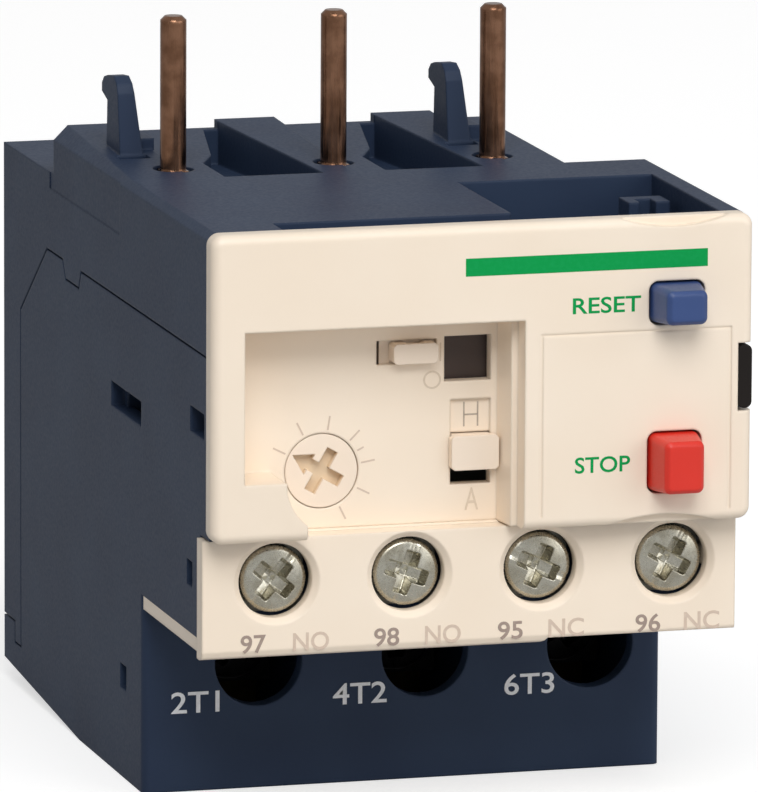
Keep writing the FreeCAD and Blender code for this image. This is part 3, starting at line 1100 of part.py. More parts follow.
def differential_lever():
    """Link across both slides: it leans when one phase is lost."""
    d0, d1 = FRONT_SLIDE_D + SLIDE_T / 2, REAR_SLIDE_D + SLIDE_T / 2
    z0 = SLIDE_Z0 + SLIDE_H + LINK_LIFT
    z1 = z0 + LINK_T
    body = fuse([box(LINK_X - 1.1, LINK_X + 1.1, d0, d1, z0, z1), rod_z(LINK_X, d0, z0, z1, 1.5),
                 rod_z(LINK_X, d1, z0, z1, 1.5)])
    return body.cut(fuse([rod_z(LINK_X, d, z0 - 1, z1 + 1, LINK_POST_R + RUN) for d in (d0, d1)]))


def compensation_lever():
    """Ambient compensation bimetal: a strip on a hub, swung by the front slide's nose."""
    half = LEVER_T / 2
    z0 = SLIDE_Z0 + 0.1
    strip = box(LEVER_X - half, LEVER_X + half, LEVER_FRONT_D, LEVER_REAR_D, z0,
                z0 + SLIDE_H - 0.2)
    hub = rod_z(LEVER_X, LEVER_PIVOT_D, z0 - 0.1, z0 + 3.4, LEVER_PIN_R + 0.8)
    tip = box(LEVER_X - half, LEVER_X + 1.3, LEVER_FRONT_D - 0.4, LEVER_FRONT_D + 0.6, z0,
              LEVER_TIP_Z)
    return fuse([strip, hub, tip]).cut(rod_z(LEVER_X, LEVER_PIVOT_D, z0 - 1, z0 + 5,
                                             LEVER_PIN_R + RUN))


def compensation_pin():
    return rod_z(LEVER_X, LEVER_PIVOT_D, SLIDE_Z0 - 5, SLIDE_Z0 + 4.2, LEVER_PIN_R)


def nodes():
    yield "upper_housing", upper_housing()
    yield "lower_housing", lower_housing()
    yield "front_cover", front_cover()
    yield "terminal_cover", terminal_cover()
    yield "side_latch", side_latch()
    for k in POLES:
        yield f"line_pin_{k + 1}", line_pin(k)
        yield f"bimetal_strip_{k + 1}", bimetal_strip(k)
        yield f"heater_winding_{k + 1}", heater_winding(k)
        yield f"load_terminal_{k + 1}", load_terminal(k)
        yield f"load_clamp_{k + 1}", load_clamp(k)
        yield f"load_screw_{k + 1}", load_screw(k)
    for k, name in enumerate(AUX_NAMES):
        yield f"aux_terminal_{name}", aux_terminal(k)
        yield f"aux_clamp_{name}", aux_clamp(k)
        yield f"aux_screw_{name}", aux_screw(k)
    yield "reset_button", push_button(RESET_X, RESET_Z, RESET_W, RESET_H, RESET_ROD_D)
    yield "reset_spring", button_spring(RESET_X, RESET_Z)
    yield "stop_button", push_button(STOP_X, STOP_Z, STOP_W, STOP_H,
                                      nc_bridge_d() - BUTTON_TRAVEL - GAP)
    yield "stop_spring", button_spring(STOP_X, STOP_Z)
    yield "setting_dial", setting_dial()
    yield "adjusting_slide", adjusting_slide()
    yield "mode_selector", mode_selector()
    yield "test_lever", test_lever()
    yield "trip_flag", trip_flag()
    yield "mechanism_frame", mechanism_frame()
    yield "rocker_pin", rocker_pin()
    yield "trip_rocker", trip_rocker()
    yield "contact_carrier", contact_carrier()
    yield "nc_contact_bridge", nc_contact_bridge()
    yield "no_contact_bridge", no_contact_bridge()
    yield "differential_slide_front", differential_slide_front()
    yield "differential_slide_rear", differential_slide_rear()
    yield "differential_lever", differential_lever()
    yield "compensation_lever", compensation_lever()
    yield "compensation_pin", compensation_pin()


def main():
    os.makedirs("parts", exist_ok=True)
    for name, shape in nodes():
        shape.exportStep(f"parts/{name}.step")
        b = shape.BoundBox
        print(f"{name:26s} solids {len(shape.Solids)} valid {shape.isValid()} "
              f"vol {shape.Volume:8.1f}  x {b.XMin:.2f} {b.XMax:.2f}  "
              f"y {b.YMin:.2f} {b.YMax:.2f}  z {b.ZMin:.2f} {b.ZMax:.2f}")


main()
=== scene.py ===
"""Looks of a three-pole thermal overload relay, dressed over its packed construction.

Everything is in metres, +Z up along the line pins, the front cover facing -Y.
"""

import json
import logging
import math
from dataclasses import dataclass, field, replace
from enum import Enum
from typing import Sequence

import bmesh
import bpy
import numpy as np
from mathutils import Matrix, Vector


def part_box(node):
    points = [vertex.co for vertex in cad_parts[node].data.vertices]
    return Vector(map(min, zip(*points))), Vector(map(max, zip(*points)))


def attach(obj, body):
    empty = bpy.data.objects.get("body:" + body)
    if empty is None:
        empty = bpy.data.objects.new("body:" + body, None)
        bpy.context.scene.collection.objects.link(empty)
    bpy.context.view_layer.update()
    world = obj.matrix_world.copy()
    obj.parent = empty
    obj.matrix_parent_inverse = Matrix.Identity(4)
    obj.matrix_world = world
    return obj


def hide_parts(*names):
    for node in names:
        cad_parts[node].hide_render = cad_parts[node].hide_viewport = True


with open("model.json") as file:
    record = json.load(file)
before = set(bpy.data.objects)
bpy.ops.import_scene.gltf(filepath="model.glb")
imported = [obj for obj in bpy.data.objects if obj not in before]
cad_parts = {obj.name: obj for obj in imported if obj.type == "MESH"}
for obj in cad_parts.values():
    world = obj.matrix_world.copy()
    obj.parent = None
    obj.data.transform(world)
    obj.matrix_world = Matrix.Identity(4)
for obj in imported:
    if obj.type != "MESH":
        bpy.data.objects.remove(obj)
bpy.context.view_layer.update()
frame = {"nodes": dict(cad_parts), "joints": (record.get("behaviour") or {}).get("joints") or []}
LOG = logging.getLogger("relay")
MM = 0.001
BASE = "relay_base"
INK_PROUD = 0.02 * MM
INK_SUNK = 0.01 * MM
EDGE_SAMPLES = 6
POLES = (1, 2, 3)


class Along(Enum):
    """Which way a drawn or rolled metal's fine lines run."""

    Y = (1.0, 0.05, 1.0)
    Z = (1.0, 1.0, 0.05)


# ---- colour and node helpers ----
def linear(code: str) -> tuple[float, float, float, float]:
    """Turn an sRGB hex colour into linear RGBA.

    Args:
        code: Colour written as "#rrggbb".

    Returns:
        The linear colour with full alpha.
    """
    srgb = np.array([int(code[i:i + 2], 16) for i in (1, 3, 5)]) / 255
    low = srgb / 12.92
    high = ((srgb + 0.055) / 1.055) ** 2.4
    return (*np.where(srgb <= 0.04045, low, high).tolist(), 1.0)


def add_node(tree: bpy.types.NodeTree, kind: str, settings: dict | None = None,
             values: dict | None = None, links: dict | None = None) -> bpy.types.Node:
    """Add one node with its settings, its input values and its links.

    Args:
        tree: Node tree that receives the node.
        kind: Node type without the "ShaderNode" prefix.
        settings: Properties of the node by name.
        values: Constant input values by socket name or index.
        links: Output sockets by the input's name or index.

    Returns:
        The new node.
    """
    node = tree.nodes.new("ShaderNode" + kind)
    for name, value in (settings or {}).items():
        setattr(node, name, value)
    for key, value in (values or {}).items():
        node.inputs[key].default_value = value
    for key, socket in (links or {}).items():
        tree.links.new(socket, node.inputs[key])
    return node


def new_material(name: str) -> tuple[bpy.types.Material, bpy.types.NodeTree]:
    """Make an empty node material.

    Args:
        name: Name of the material.

    Returns:
        The material and its cleared node tree.
    """
    material = bpy.data.materials.new(name)
    material.use_nodes = True
    material.node_tree.nodes.clear()
    return material, material.node_tree


def mixed_colour(tree: bpy.types.NodeTree, factor: bpy.types.NodeSocket, first: str,
                 second: str) -> bpy.types.NodeSocket:
    """Blend two sRGB hex colours by a factor socket.

    Args:
        tree: Node tree to work in.
        factor: Socket that runs from 0 to 1.
        first: Colour at 0.
        second: Colour at 1.

    Returns:
        The blended colour socket.
    """
    mix = add_node(tree, "Mix", {"data_type": "RGBA"},
                   {"A": linear(first), "B": linear(second)}, {"Factor": factor})
    return mix.outputs["Result"]


def noise(tree: bpy.types.NodeTree, grain_mm: float, detail: float = 2.0,
          stretch: Sequence[float] = (1.0, 1.0, 1.0)) -> bpy.types.NodeSocket:
    """Noise in object space whose cells measure grain_mm.

    Args:
        tree: Node tree to work in.
        grain_mm: Size of one grain in millimetres.
        detail: Octaves of the noise.
        stretch: Scale per axis; a small number draws the grain out along that axis.

    Returns:
        The noise value, from 0 to 1.
    """
    place = add_node(tree, "TexCoord")
    scaled = add_node(tree, "Mapping", None, {"Scale": stretch},
                      {"Vector": place.outputs["Object"]})
    grain = add_node(tree, "TexNoise", None,
                     {"Scale": 1 / (grain_mm * MM), "Detail": detail, "Roughness": 0.55},
                     {"Vector": scaled.outputs["Vector"]})
    return grain.outputs["Fac"]


def ranged(tree: bpy.types.NodeTree, value: bpy.types.NodeSocket, low: float, high: float,
           start: float = 0.3, end: float = 0.7) -> bpy.types.NodeSocket:
    """Map a value from start..end to low..high, clamped.

    Args:
        tree: Node tree to work in.
        value: Socket to map.
        low: Result at start.
        high: Result at end.
        start: Lower end of the input range.
        end: Upper end of the input range.

    Returns:
        The mapped socket.
    """
    mapped = add_node(tree, "MapRange", None,
                      {"From Min": start, "From Max": end, "To Min": low, "To Max": high},
                      {"Value": value})
    return mapped.outputs["Result"]


def finished(tree: bpy.types.NodeTree, colour: bpy.types.NodeSocket,
             roughness: bpy.types.NodeSocket | float, height: bpy.types.NodeSocket | None,
             relief_mm: float, edge_mm: float, settings: dict) -> None:
    """Close a material: softened edges, a bump, the shader and the output.

    Args:
        tree: Node tree to close.
        colour: Base colour socket.
        roughness: Roughness socket or number.
        height: Bump height socket, or None for none.
        relief_mm: Depth of the bump.
        edge_mm: Radius that sharp edges are softened to, 0 for none.
        settings: Constant values for the shader's own sockets.
    """
    values = dict(settings)
    links = {"Base Color": colour}
    if isinstance(roughness, bpy.types.NodeSocket):
        links["Roughness"] = roughness
    else:
        values["Roughness"] = roughness
    normal = {}
    if edge_mm:
        edge = add_node(tree, "Bevel", {"samples": EDGE_SAMPLES}, {"Radius": edge_mm * MM})
        normal = {"Normal": edge.outputs[0]}
    if height is not None:
        bump = add_node(tree, "Bump", None, {"Strength": 1.0, "Distance": relief_mm * MM},
                        {"Height": height} | normal)
        normal = {"Normal": bump.outputs[0]}
    shader = add_node(tree, "BsdfPrincipled", None, values, links | normal)
    add_node(tree, "OutputMaterial", None, None, {"Surface": shader.outputs[0]})


# ---- finishes ----
@dataclass(frozen=True)
class MouldedPlastic:
    """Injection-moulded thermoplastic: even colour, faint flow clouds and a fine tool texture.

    Where a second colour is given, it covers every face behind a given depth: painted shade for
    a recess.
    """

    name: str
    colour: str
    cloud: str
    roughness: float = 0.42
    grain_mm: float = 0.25
    relief_mm: float = 0.004
    edge_mm: float = 0.25
    sheen_level: float = 0.5
    second: str | None = None
    painted_shade_depth: float = 0.0
    cloud_mm: float = 9.0
    rough_swing: float = 0.05

    def build(self) -> bpy.types.Material:
        """Return the plastic as a node material."""
        material, tree = new_material(self.name)
        # Flow clouds a few millimetres wide keep a big flat wall from looking printed.
        clouds = ranged(tree, noise(tree, self.cloud_mm, 1.0), 0.0, 1.0, 0.35, 0.65)
        colour = mixed_colour(tree, clouds, self.colour, self.cloud)
        # The second colour is painted shade: it darkens every face deeper than the split,
        # standing in for the shade inside a recess.
        if self.second:
            place = add_node(tree, "TexCoord")
            split = add_node(tree, "SeparateXYZ", None, None, {0: place.outputs["Object"]})
            side = add_node(tree, "Math", {"operation": "GREATER_THAN"}, {1: self.painted_shade_depth},
                            {0: split.outputs[1]})
            mix = add_node(tree, "Mix", {"data_type": "RGBA"}, {"B": linear(self.second)},
                           {"Factor": side.outputs[0], "A": colour})
            colour = mix.outputs["Result"]
        # Spark-eroded tools leave a grain of a fifth to a third of a millimetre.
        grain = noise(tree, self.grain_mm)
        rough = ranged(tree, grain, self.roughness - self.rough_swing,
                       self.roughness + self.rough_swing)
        finished(tree, colour, rough, grain, self.relief_mm, self.edge_mm,
                 {"IOR": 1.5, "Specular IOR Level": self.sheen_level})
        return material


@dataclass(frozen=True)
class WorkedMetal:
    """Drawn, rolled or plated metal: fine lines along one way and a slightly uneven shade."""

    name: str
    colour: str
    shade: str
    roughness: float = 0.3
    line_mm: float = 0.12
    along: Along = Along.Z
    relief_mm: float = 0.004
    edge_mm: float = 0.08
    stain_mm: float = 1.6
    smoother: float = 0.08
    rougher: float = 0.1

    def build(self) -> bpy.types.Material:
        """Return the metal as a node material."""
        material, tree = new_material(self.name)
        # Handling and plating leave stains of a millimetre or two.
        stains = ranged(tree, noise(tree, self.stain_mm, 3.0), 0.0, 1.0, 0.4, 0.62)
        colour = mixed_colour(tree, stains, self.colour, self.shade)
        # Drawing and rolling leave lines about a tenth of a millimetre apart.
        lines = noise(tree, self.line_mm, 2.0, self.along.value)
        rough = ranged(tree, lines, self.roughness - self.smoother,
                       self.roughness + self.rougher)
        finished(tree, colour, rough, lines, self.relief_mm, self.edge_mm, {"Metallic": 1.0})
        return material


@dataclass(frozen=True)
class TwoLayerStrip:
    """Roll-bonded bimetal: a pale high-expansion face on a grey nickel-iron one."""

    name: str
    colour: str
    back: str
    line_mm: float = 0.15
    relief_mm: float = 0.003
    edge_mm: float = 0.05

    def build(self) -> bpy.types.Material:
        """Return the strip as a node material, split by the side that a face looks to."""
        material, tree = new_material(self.name)
        facing = add_node(tree, "NewGeometry")
        split = add_node(tree, "SeparateXYZ", None, None, {0: facing.outputs["Normal"]})
        side = ranged(tree, split.outputs[0], 0.0, 1.0, -0.1, 0.1)
        # Cold rolling leaves lines along the strip.
        lines = noise(tree, self.line_mm, 2.0, Along.Z.value)
        colour = mixed_colour(tree, side, self.colour, self.back)
        rough = ranged(tree, lines, 0.28, 0.42)
        finished(tree, colour, rough, lines, self.relief_mm, self.edge_mm, {"Metallic": 1.0})
        return material


@dataclass(frozen=True)
class PadInk:
    """Pad-printed ink: a thin flat film with slightly uneven cover."""

    name: str
    colour: str
    thin: str
    cover_mm: float = 0.3

    def build(self) -> bpy.types.Material:
        """Return the ink as a node material."""
        material, tree = new_material(self.name)
        # The silicone pad leaves patches of thinner ink a third of a millimetre wide.
        cover = ranged(tree, noise(tree, self.cover_mm, 2.0), 0.0, 1.0, 0.45, 0.75)
        finished(tree, mixed_colour(tree, cover, self.colour, self.thin), 0.6, None, 0.0, 0.0,
                 {"IOR": 1.48, "Specular IOR Level": 0.15})
        return material


# Glass-filled polyamide from an eroded tool: dull navy that turns grey at a low angle.
HOUSING = MouldedPlastic("glass_filled_polyamide_moulded_navy", "#26334a", "#2a384f",
                         roughness=0.5, grain_mm=0.3, relief_mm=0.006, edge_mm=0.3,
                         sheen_level=0.21)
# Polycarbonate from a finely eroded tool: smooth cream with a soft gloss.
COVER = MouldedPlastic("polycarbonate_moulded_cream", "#f6e7d4", "#f4e4d0", roughness=0.36,
                       grain_mm=0.2, relief_mm=0.002, edge_mm=0.3)
# Unfilled polyamide: nearly black, with a dry look.
LATCH = MouldedPlastic("polyamide_moulded_black_brown", "#1d1917", "#211c1a", roughness=0.5,
                       sheen_level=0.15)
FLAG = MouldedPlastic("polyamide_moulded_dark_brown", "#453833", "#4a3c37", roughness=0.5)
# Glass-filled polyamide from a plainer tool: mid grey, seen only through slots.
FRAME = MouldedPlastic("glass_filled_polyamide_moulded_grey", "#777775", "#7d7c79",
                       roughness=0.5, grain_mm=0.3)
# Acetal: smooth and slightly waxy, so that button edges catch a thin line of light.
BLUE = MouldedPlastic("acetal_moulded_blue", "#324a7e", "#2f4577", roughness=0.4, grain_mm=0.2,
                      relief_mm=0.002, edge_mm=0.3)
RED = MouldedPlastic("acetal_moulded_red", "#e03122", "#d92d1e", roughness=0.4, grain_mm=0.2,
                     relief_mm=0.002, edge_mm=0.3)
SLIDER = MouldedPlastic("acetal_moulded_cream", "#f4e4d2", "#f1e0cd", roughness=0.4,
                        grain_mm=0.2, relief_mm=0.002, edge_mm=0.12)
SLIDE = MouldedPlastic("acetal_moulded_natural", "#cdc8be", "#c7c2b8", roughness=0.4)
# Polycarbonate dial: as the cover, but every face inside the cut drive gets a darker tan as
# painted shade.
DIAL = MouldedPlastic("polycarbonate_moulded_cream_dial_painted_drive_shade", "#f4e4d2", "#f1e0cd", roughness=0.4,
                      grain_mm=0.2, relief_mm=0.002, edge_mm=0.15, second="#e4cdae")
# Drawn spring wire: bright, with fine lines along its run.
SPRING_STEEL = WorkedMetal("spring_steel_drawn_bright", "#b9b9b6", "#a5a5a2", roughness=0.28)
# Drawn copper rod that has darkened: brown, with long streaks and a soft round at the tip.
PIN_COPPER = WorkedMetal("copper_alloy_drawn_darkened", "#946e57", "#7a5843", roughness=0.2,
                         line_mm=0.2, relief_mm=0.0015, edge_mm=0.3)
# Rolled resistance ribbon: dull brown-grey from its own heat.
HEATER = WorkedMetal("nickel_chrome_ribbon_rolled", "#8c8478", "#6f675d", roughness=0.4)
# Stamped brass: yellow-brown and half dull. The load terminals' brass is painted almost black as
# shade, for the dark of the deep cable holes it sits in.
BRASS = WorkedMetal("brass_stamped_tarnished", "#9a8450", "#7f6b3f", roughness=0.38)
HOLE_SHADE_BRASS = WorkedMetal("brass_stamped_painted_hole_shade", "#4a3f2a", "#3b3222", roughness=0.45)
# Zinc-plated stamping: even, cool grey with a dull gloss.
CLAMP_STEEL = WorkedMetal("steel_stamped_zinc_plated", "#8d8c84", "#77766e", roughness=0.42)
# Nickel-plated cold heading: pale warm grey that mirrors softly, with bright recess walls.
SCREW_STEEL = WorkedMetal("steel_cold_headed_nickel_plated", "#c2bfb2", "#b0ab9b",
                          roughness=0.27, line_mm=0.25, along=Along.Y, relief_mm=0.0008)
# Cold-headed steel painted matt black as shade, so that the load screws and clamps disappear in
# their deep holes, as they do in shadow.
HOLE_SHADE_STEEL = WorkedMetal("steel_cold_headed_painted_hole_shade", "#2b2b2d", "#222223", roughness=0.5,
                         line_mm=0.25, along=Along.Y, relief_mm=0.002)
# Rolled two-layer strip: warm pale on one side and cool grey on the other.
BIMETAL = TwoLayerStrip("bimetal_roll_bonded", "#b8ad9a", "#8f9094")
# Pad inks: flat colour without gloss, thinner in small patches.
GREEN_INK = PadInk("pad_ink_green", "#00984a", "#0a9b50")
GREY_INK = PadInk("pad_ink_warm_grey", "#a08f85", "#ab9a8f")
STONE_INK = PadInk("pad_ink_stone", "#b9ab9d", "#c2b5a8")
TAN_INK = PadInk("pad_ink_tan", "#d3bfae", "#d9c7b7")
FAINT_INK = PadInk("pad_ink_faint_tan", "#dccbb6", "#e2d2bf")
PALE_INK = PadInk("pad_ink_pale_grey", "#f0f2f6", "#e4e7ec")

Finish = MouldedPlastic | WorkedMetal | TwoLayerStrip | PadInk


@dataclass
class Wardrobe:
    """Builds each finish once and hands it out by its name."""

    made: dict[str, bpy.types.Material] = field(default_factory=dict)

    def get(self, finish: Finish) -> bpy.types.Material:
        """Return the material of a finish, building it at first use."""
        if finish.name not in self.made:
            self.made[finish.name] = finish.build()
        return self.made[finish.name]

    def dress(self, finish: Finish, *nodes: str) -> None:
        """Give construction nodes a finish in place of their plain colour."""
        for name in nodes:
            data = frame["nodes"][name].data
            data.materials.clear()
            data.materials.append(self.get(finish))
            LOG.info("node %s wears %s", name, finish.name)


WARDROBE = Wardrobe()


# ---- places and pieces ----
@dataclass(frozen=True)
class Place:
    """Extent of a construction node."""

    low: Vector
    high: Vector

    @classmethod
    def of(cls, node: str) -> "Place":
        """Return the extent of a node by its name."""
        return cls(*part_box(node))

    @property
    def middle(self) -> Vector:
        """Return the centre of the extent."""
        return (self.low + self.high) / 2


def carried(name: str, data: bpy.types.Mesh, finish: Finish, body: str) -> bpy.types.Object:
    """Turn a mesh into a piece with a finish that rides on a body.

    Args:
        name: Name of the piece.
        data: Mesh of the piece.
        finish: Finish of the piece.
        body: Body that carries the piece.

    Returns:
        The new object.
    """
    data.materials.clear()
    data.materials.append(WARDROBE.get(finish))
    piece = bpy.data.objects.new(name, data)
    bpy.context.scene.collection.objects.link(piece)
    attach(piece, body)
    LOG.info("piece %s: %d faces", name, len(data.polygons))
    return piece


def piece_from(name: str, points: np.ndarray, faces: list[list[int]], finish: Finish,
               body: str, smooth: bool = False) -> bpy.types.Object:
    """Make a piece from points and faces.

    Args:
        name: Name of the piece.
        points: Array of positions, of any shape that ends in 3.
        faces: Point numbers of each face, turned outwards.
        finish: Finish of the piece.
        body: Body that carries the piece.
        smooth: Whether faces are shaded smooth.

    Returns:
        The new object.
    """
    data = bpy.data.meshes.new(name)
    data.from_pydata(points.reshape(-1, 3).tolist(), [], faces)
    data.polygons.foreach_set("use_smooth", np.full(len(data.polygons), smooth))
    return carried(name, data, finish, body)


def sealed(piece: bpy.types.Object) -> None:
    """Merge the doubled points at a piece's poles and turn its faces outwards.

    Args:
        piece: Piece whose mesh is closed but for its poles.
    """
    mesh = bmesh.new()
    mesh.from_mesh(piece.data)
    bmesh.ops.remove_doubles(mesh, verts=mesh.verts, dist=1e-7)
    bmesh.ops.recalc_face_normals(mesh, faces=mesh.faces)
    mesh.to_mesh(piece.data)
    mesh.free()


# Faces of a slab whose lower corners are 0 to 3 and whose upper corners are 4 to 7.
BLOCK_FACES = np.array([[0, 1, 5, 4], [1, 2, 6, 5], [2, 3, 7, 6], [3, 0, 4, 7], [3, 2, 1, 0],
                        [4, 5, 6, 7]])


def film(name: str, quads: np.ndarray, surface: float, finish: PadInk) -> None:
    """Lay a printed film of four-cornered strokes on a face that looks to -Y.

    Each stroke's corners (x, z) are put once just under the surface and once just over it,
    and joined to a closed slab.

    Args:
        name: Name of the piece.
        quads: N x 4 x 2 array of corners, anticlockwise seen from the front.
        surface: The face's y position.
        finish: Ink of the film.
    """
    count = len(quads)
    both = np.zeros((count, 2, 4, 3))
    both[..., 0] = quads[:, None, :, 0]
    both[..., 2] = quads[:, None, :, 1]
    both[:, 0, :, 1] = surface + INK_SUNK
    both[:, 1, :, 1] = surface - INK_PROUD
    faces = (np.arange(count)[:, None, None] * 8 + BLOCK_FACES).reshape(-1, 4)
    piece_from(name, both, faces.tolist(), finish, BASE)


def strokes(centre: Sequence[float], angles: np.ndarray, inner: np.ndarray, outer: np.ndarray,
            width: float) -> np.ndarray:
    """Radial strokes round a centre.

    A corner is centre + radius * (cos a, sin a) + half width * (-sin a, cos a), with the sign
    of the last term set by the side.

    Args:
        centre: The centre's x and z.
        angles: Angle of each stroke in degrees, anticlockwise from +X.
        inner: Inner radius of each stroke.
        outer: Outer radius of each stroke.
        width: Width of all strokes.

    Returns:
        N x 4 x 2 corners, anticlockwise.
    """
    turn = np.radians(angles)
    out = np.stack([np.cos(turn), np.sin(turn)], 1)[:, None, :]
    across = np.stack([-np.sin(turn), np.cos(turn)], 1)[:, None, :]
    radius = np.stack([inner, outer, outer, inner], 1)[..., None]
    side = np.array([-1.0, -1.0, 1.0, 1.0])[None, :, None] * width / 2
    return np.asarray(centre)[None, None, :] + radius * out + side * across


def lettering(name: str, words: str, left: float, bottom: float, width: float, height: float,
              surface: float, finish: PadInk, weight: float = 0.0) -> None:
    """Print plain words on a face that looks to -Y, scaled to an exact box.

    Each point of the flat letters goes to the box's corner plus its share of the letters'
    own extent times the box's size.

    Args:
        name: Name of the piece.
        words: Text to print.
        left: Left end of the text, x.
        bottom: Foot of the text, z.
        width: Width of the text.
        height: Height of the text.
        surface: The face's y position.
        finish: Ink of the text.
        weight: How far each letter's outline is swelled, in the font's own units.
    """
    curve = bpy.data.curves.new(name + "_outline", "FONT")
    curve.body = words
    curve.resolution_u = 4
    curve.extrude = 0.05
    curve.offset = weight
    writer = bpy.data.objects.new(name + "_outline", curve)
    bpy.context.scene.collection.objects.link(writer)
    bpy.context.view_layer.update()
    data = bpy.data.meshes.new_from_object(writer)
    bpy.data.objects.remove(writer)
    flat = np.empty(len(data.vertices) * 3, np.float32)
    data.vertices.foreach_get("co", flat)
    flat = flat.reshape(-1, 3).astype(float)
    low, high = flat.min(0), flat.max(0)
    share = (flat - low) / (high - low)
    placed = np.stack([left + share[:, 0] * width,
                       surface + INK_SUNK - share[:, 2] * (INK_SUNK + INK_PROUD),
                       bottom + share[:, 1] * height], 1)
    data.vertices.foreach_set("co", placed.astype(np.float32).ravel())
    data.update()
    data.name = name
    carried(name, data, finish, BASE)


@dataclass(frozen=True)
class PrintedMark:
    """Words of one printed mark, with their left end beside an anchor and their width."""

    words: str
    left: float
    width: float


# Shares of a head's radius and height at each row down its side and across its underside.
HEAD_SKIRT = np.array([(1.0, 0.75), (0.98, 0.95), (0.9, 1.0), (0.6, 1.0)])


@dataclass(frozen=True)
class ScrewShape:
    """Cold-headed terminal screw: domed head, cross recess, shallow slot and rolled thread.

    Lengths and widths of the recess are shares of the head's radius, or of their own size
    where they say how fast it tapers, ends or rises.
    """

    head_radius: float
    head_height: float
    shank_radius: float
    pitch: float
    turn: float = 0.0
    dome: float = 0.35 * MM
    rim: float = 0.4 * MM
    wing_length: float = 0.66
    wing_width: float = 0.42
    wing_taper: float = 0.1
    wing_end: float = 0.14
    wing_wall: float = 0.22 * MM
    cross_depth: float = 1.9 * MM
    floor_rise: float = 0.35
    slot_width: float = 0.5 * MM
    slot_wall: float = 0.3 * MM
    slot_depth: float = 0.12 * MM
    thread_share: float = 0.32
    tip_run: float = 0.8 * MM
    tip_share: float = 0.35
    head_rows: int = 90
    columns: int = 192
    rows_per_pitch: int = 6

    def head_rise(self, across: np.ndarray, along: np.ndarray) -> np.ndarray:
        """How far a point of the head's top lies behind its crown.

        The crown falls with the square of the radius and rolls over at the rim in a quarter
        circle. Two tapered wings at right angles cut the cross, deepest at the middle, and a
        shallow slot runs from rim to rim along the first wing. Each cut is its depth times a
        ramp from 0 to 1 across its walls.

        Args:
            across: Offsets across the axis, first direction.
            along: Offsets across the axis, second direction.

        Returns:
            Depth behind the crown at each point.
        """
        radius = np.hypot(across, along)
        share = radius / self.head_radius
        over = np.clip(radius - (self.head_radius - self.rim), 0, self.rim)
        depth = self.dome * share ** 2 + self.rim - np.sqrt(self.rim ** 2 - over ** 2)
        cut = np.zeros_like(radius)
        for near, side in ((across, along), (along, across)):
            reach = np.abs(near) / (self.wing_length * self.head_radius)
            half = self.wing_width * self.head_radius / 2 * (1.0 - self.wing_taper * reach)
            wall = np.clip((half - np.abs(side)) / self.wing_wall + 0.5, 0, 1)
            end = np.clip((1.0 - reach) / self.wing_end, 0, 1)
            floor = self.cross_depth * (1 - self.floor_rise * reach)
            cut = np.maximum(cut, wall * end * floor)
        slot = np.clip((self.slot_width / 2 - np.abs(along)) / self.slot_wall + 0.5, 0, 1)
        return depth + np.maximum(cut, slot * self.slot_depth)

    def grid(self, place: Place) -> np.ndarray:
        """Points of the whole screw as rows round its axis, from the crown to the tip.

        Head rows run outwards; then come the head's side and underside, and the shank, whose
        radius is the shank radius less a triangle wave of row height over pitch minus angle
        over a full turn, and shrinks with a square root over the last of its length.

        Args:
            place: Extent of the construction screw, which gives the axis and both ends.

        Returns:
            Rows x columns x 3 array of positions.
        """
        angle = np.linspace(0, 2 * np.pi, self.columns, endpoint=False)[None, :]
        out = np.linspace(0, 1, self.head_rows)[1:, None] * self.head_radius
        behind = self.head_rise(out * np.cos(angle), out * np.sin(angle))
        back = self.head_height
        skirt = np.maximum(behind[-1:], HEAD_SKIRT[:, 1:] * back)
        ring = HEAD_SKIRT[:, :1] * self.head_radius * np.ones_like(angle)
        length = place.high.y - place.low.y - back
        count = int(length / self.pitch * self.rows_per_pitch)
        down = np.linspace(0, length, count)[:, None]
        wave = np.abs(np.mod(down / self.pitch - angle / (2 * np.pi), 1.0) - 0.5) * 2
        fade = np.clip((length - down) / self.tip_run, self.tip_share, 1)
        shank = (self.shank_radius - wave * self.thread_share * self.pitch) * fade ** 0.5
        radius = np.concatenate([out * np.ones_like(angle), ring, shank])
        depth = np.concatenate([behind, skirt, back + down * np.ones_like(angle)])
        middle = place.middle
        twist = angle + math.radians(self.turn)
        points = np.stack([middle.x + radius * np.cos(twist), place.low.y + depth,
                           middle.z + radius * np.sin(twist)], -1)
        crown = np.array([middle.x, place.low.y + self.head_rise(np.zeros(1), np.zeros(1))[0],
                          middle.z])
        tip = np.array([middle.x, place.high.y, middle.z])
        return np.concatenate([np.broadcast_to(crown, (1, self.columns, 3)), points,
                               np.broadcast_to(tip, (1, self.columns, 3))])

    def build(self, node: str, finish: WorkedMetal) -> None:
        """Make the screw in place of its construction node.

        Args:
            node: Construction node that the screw replaces; the piece rides its body.
            finish: Finish of the screw.
        """
        rows = self.grid(Place.of(node))
        high, wide = rows.shape[:2]
        index = np.arange(high * wide).reshape(high, wide)
        after = np.roll(index, -1, axis=1)
        faces = np.stack([index[:-1], after[:-1], after[1:], index[1:]], -1).reshape(-1, 4)
        piece = piece_from(f"{node}_threaded", rows, faces.tolist(), finish, node, True)
        sealed(piece)
        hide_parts(node)


AUX_SCREW = ScrewShape(2.75 * MM, 2.0 * MM, 1.75 * MM, 0.6 * MM)
LOAD_SCREW = ScrewShape(3.3 * MM, 2.4 * MM, 2.0 * MM, 0.7 * MM)


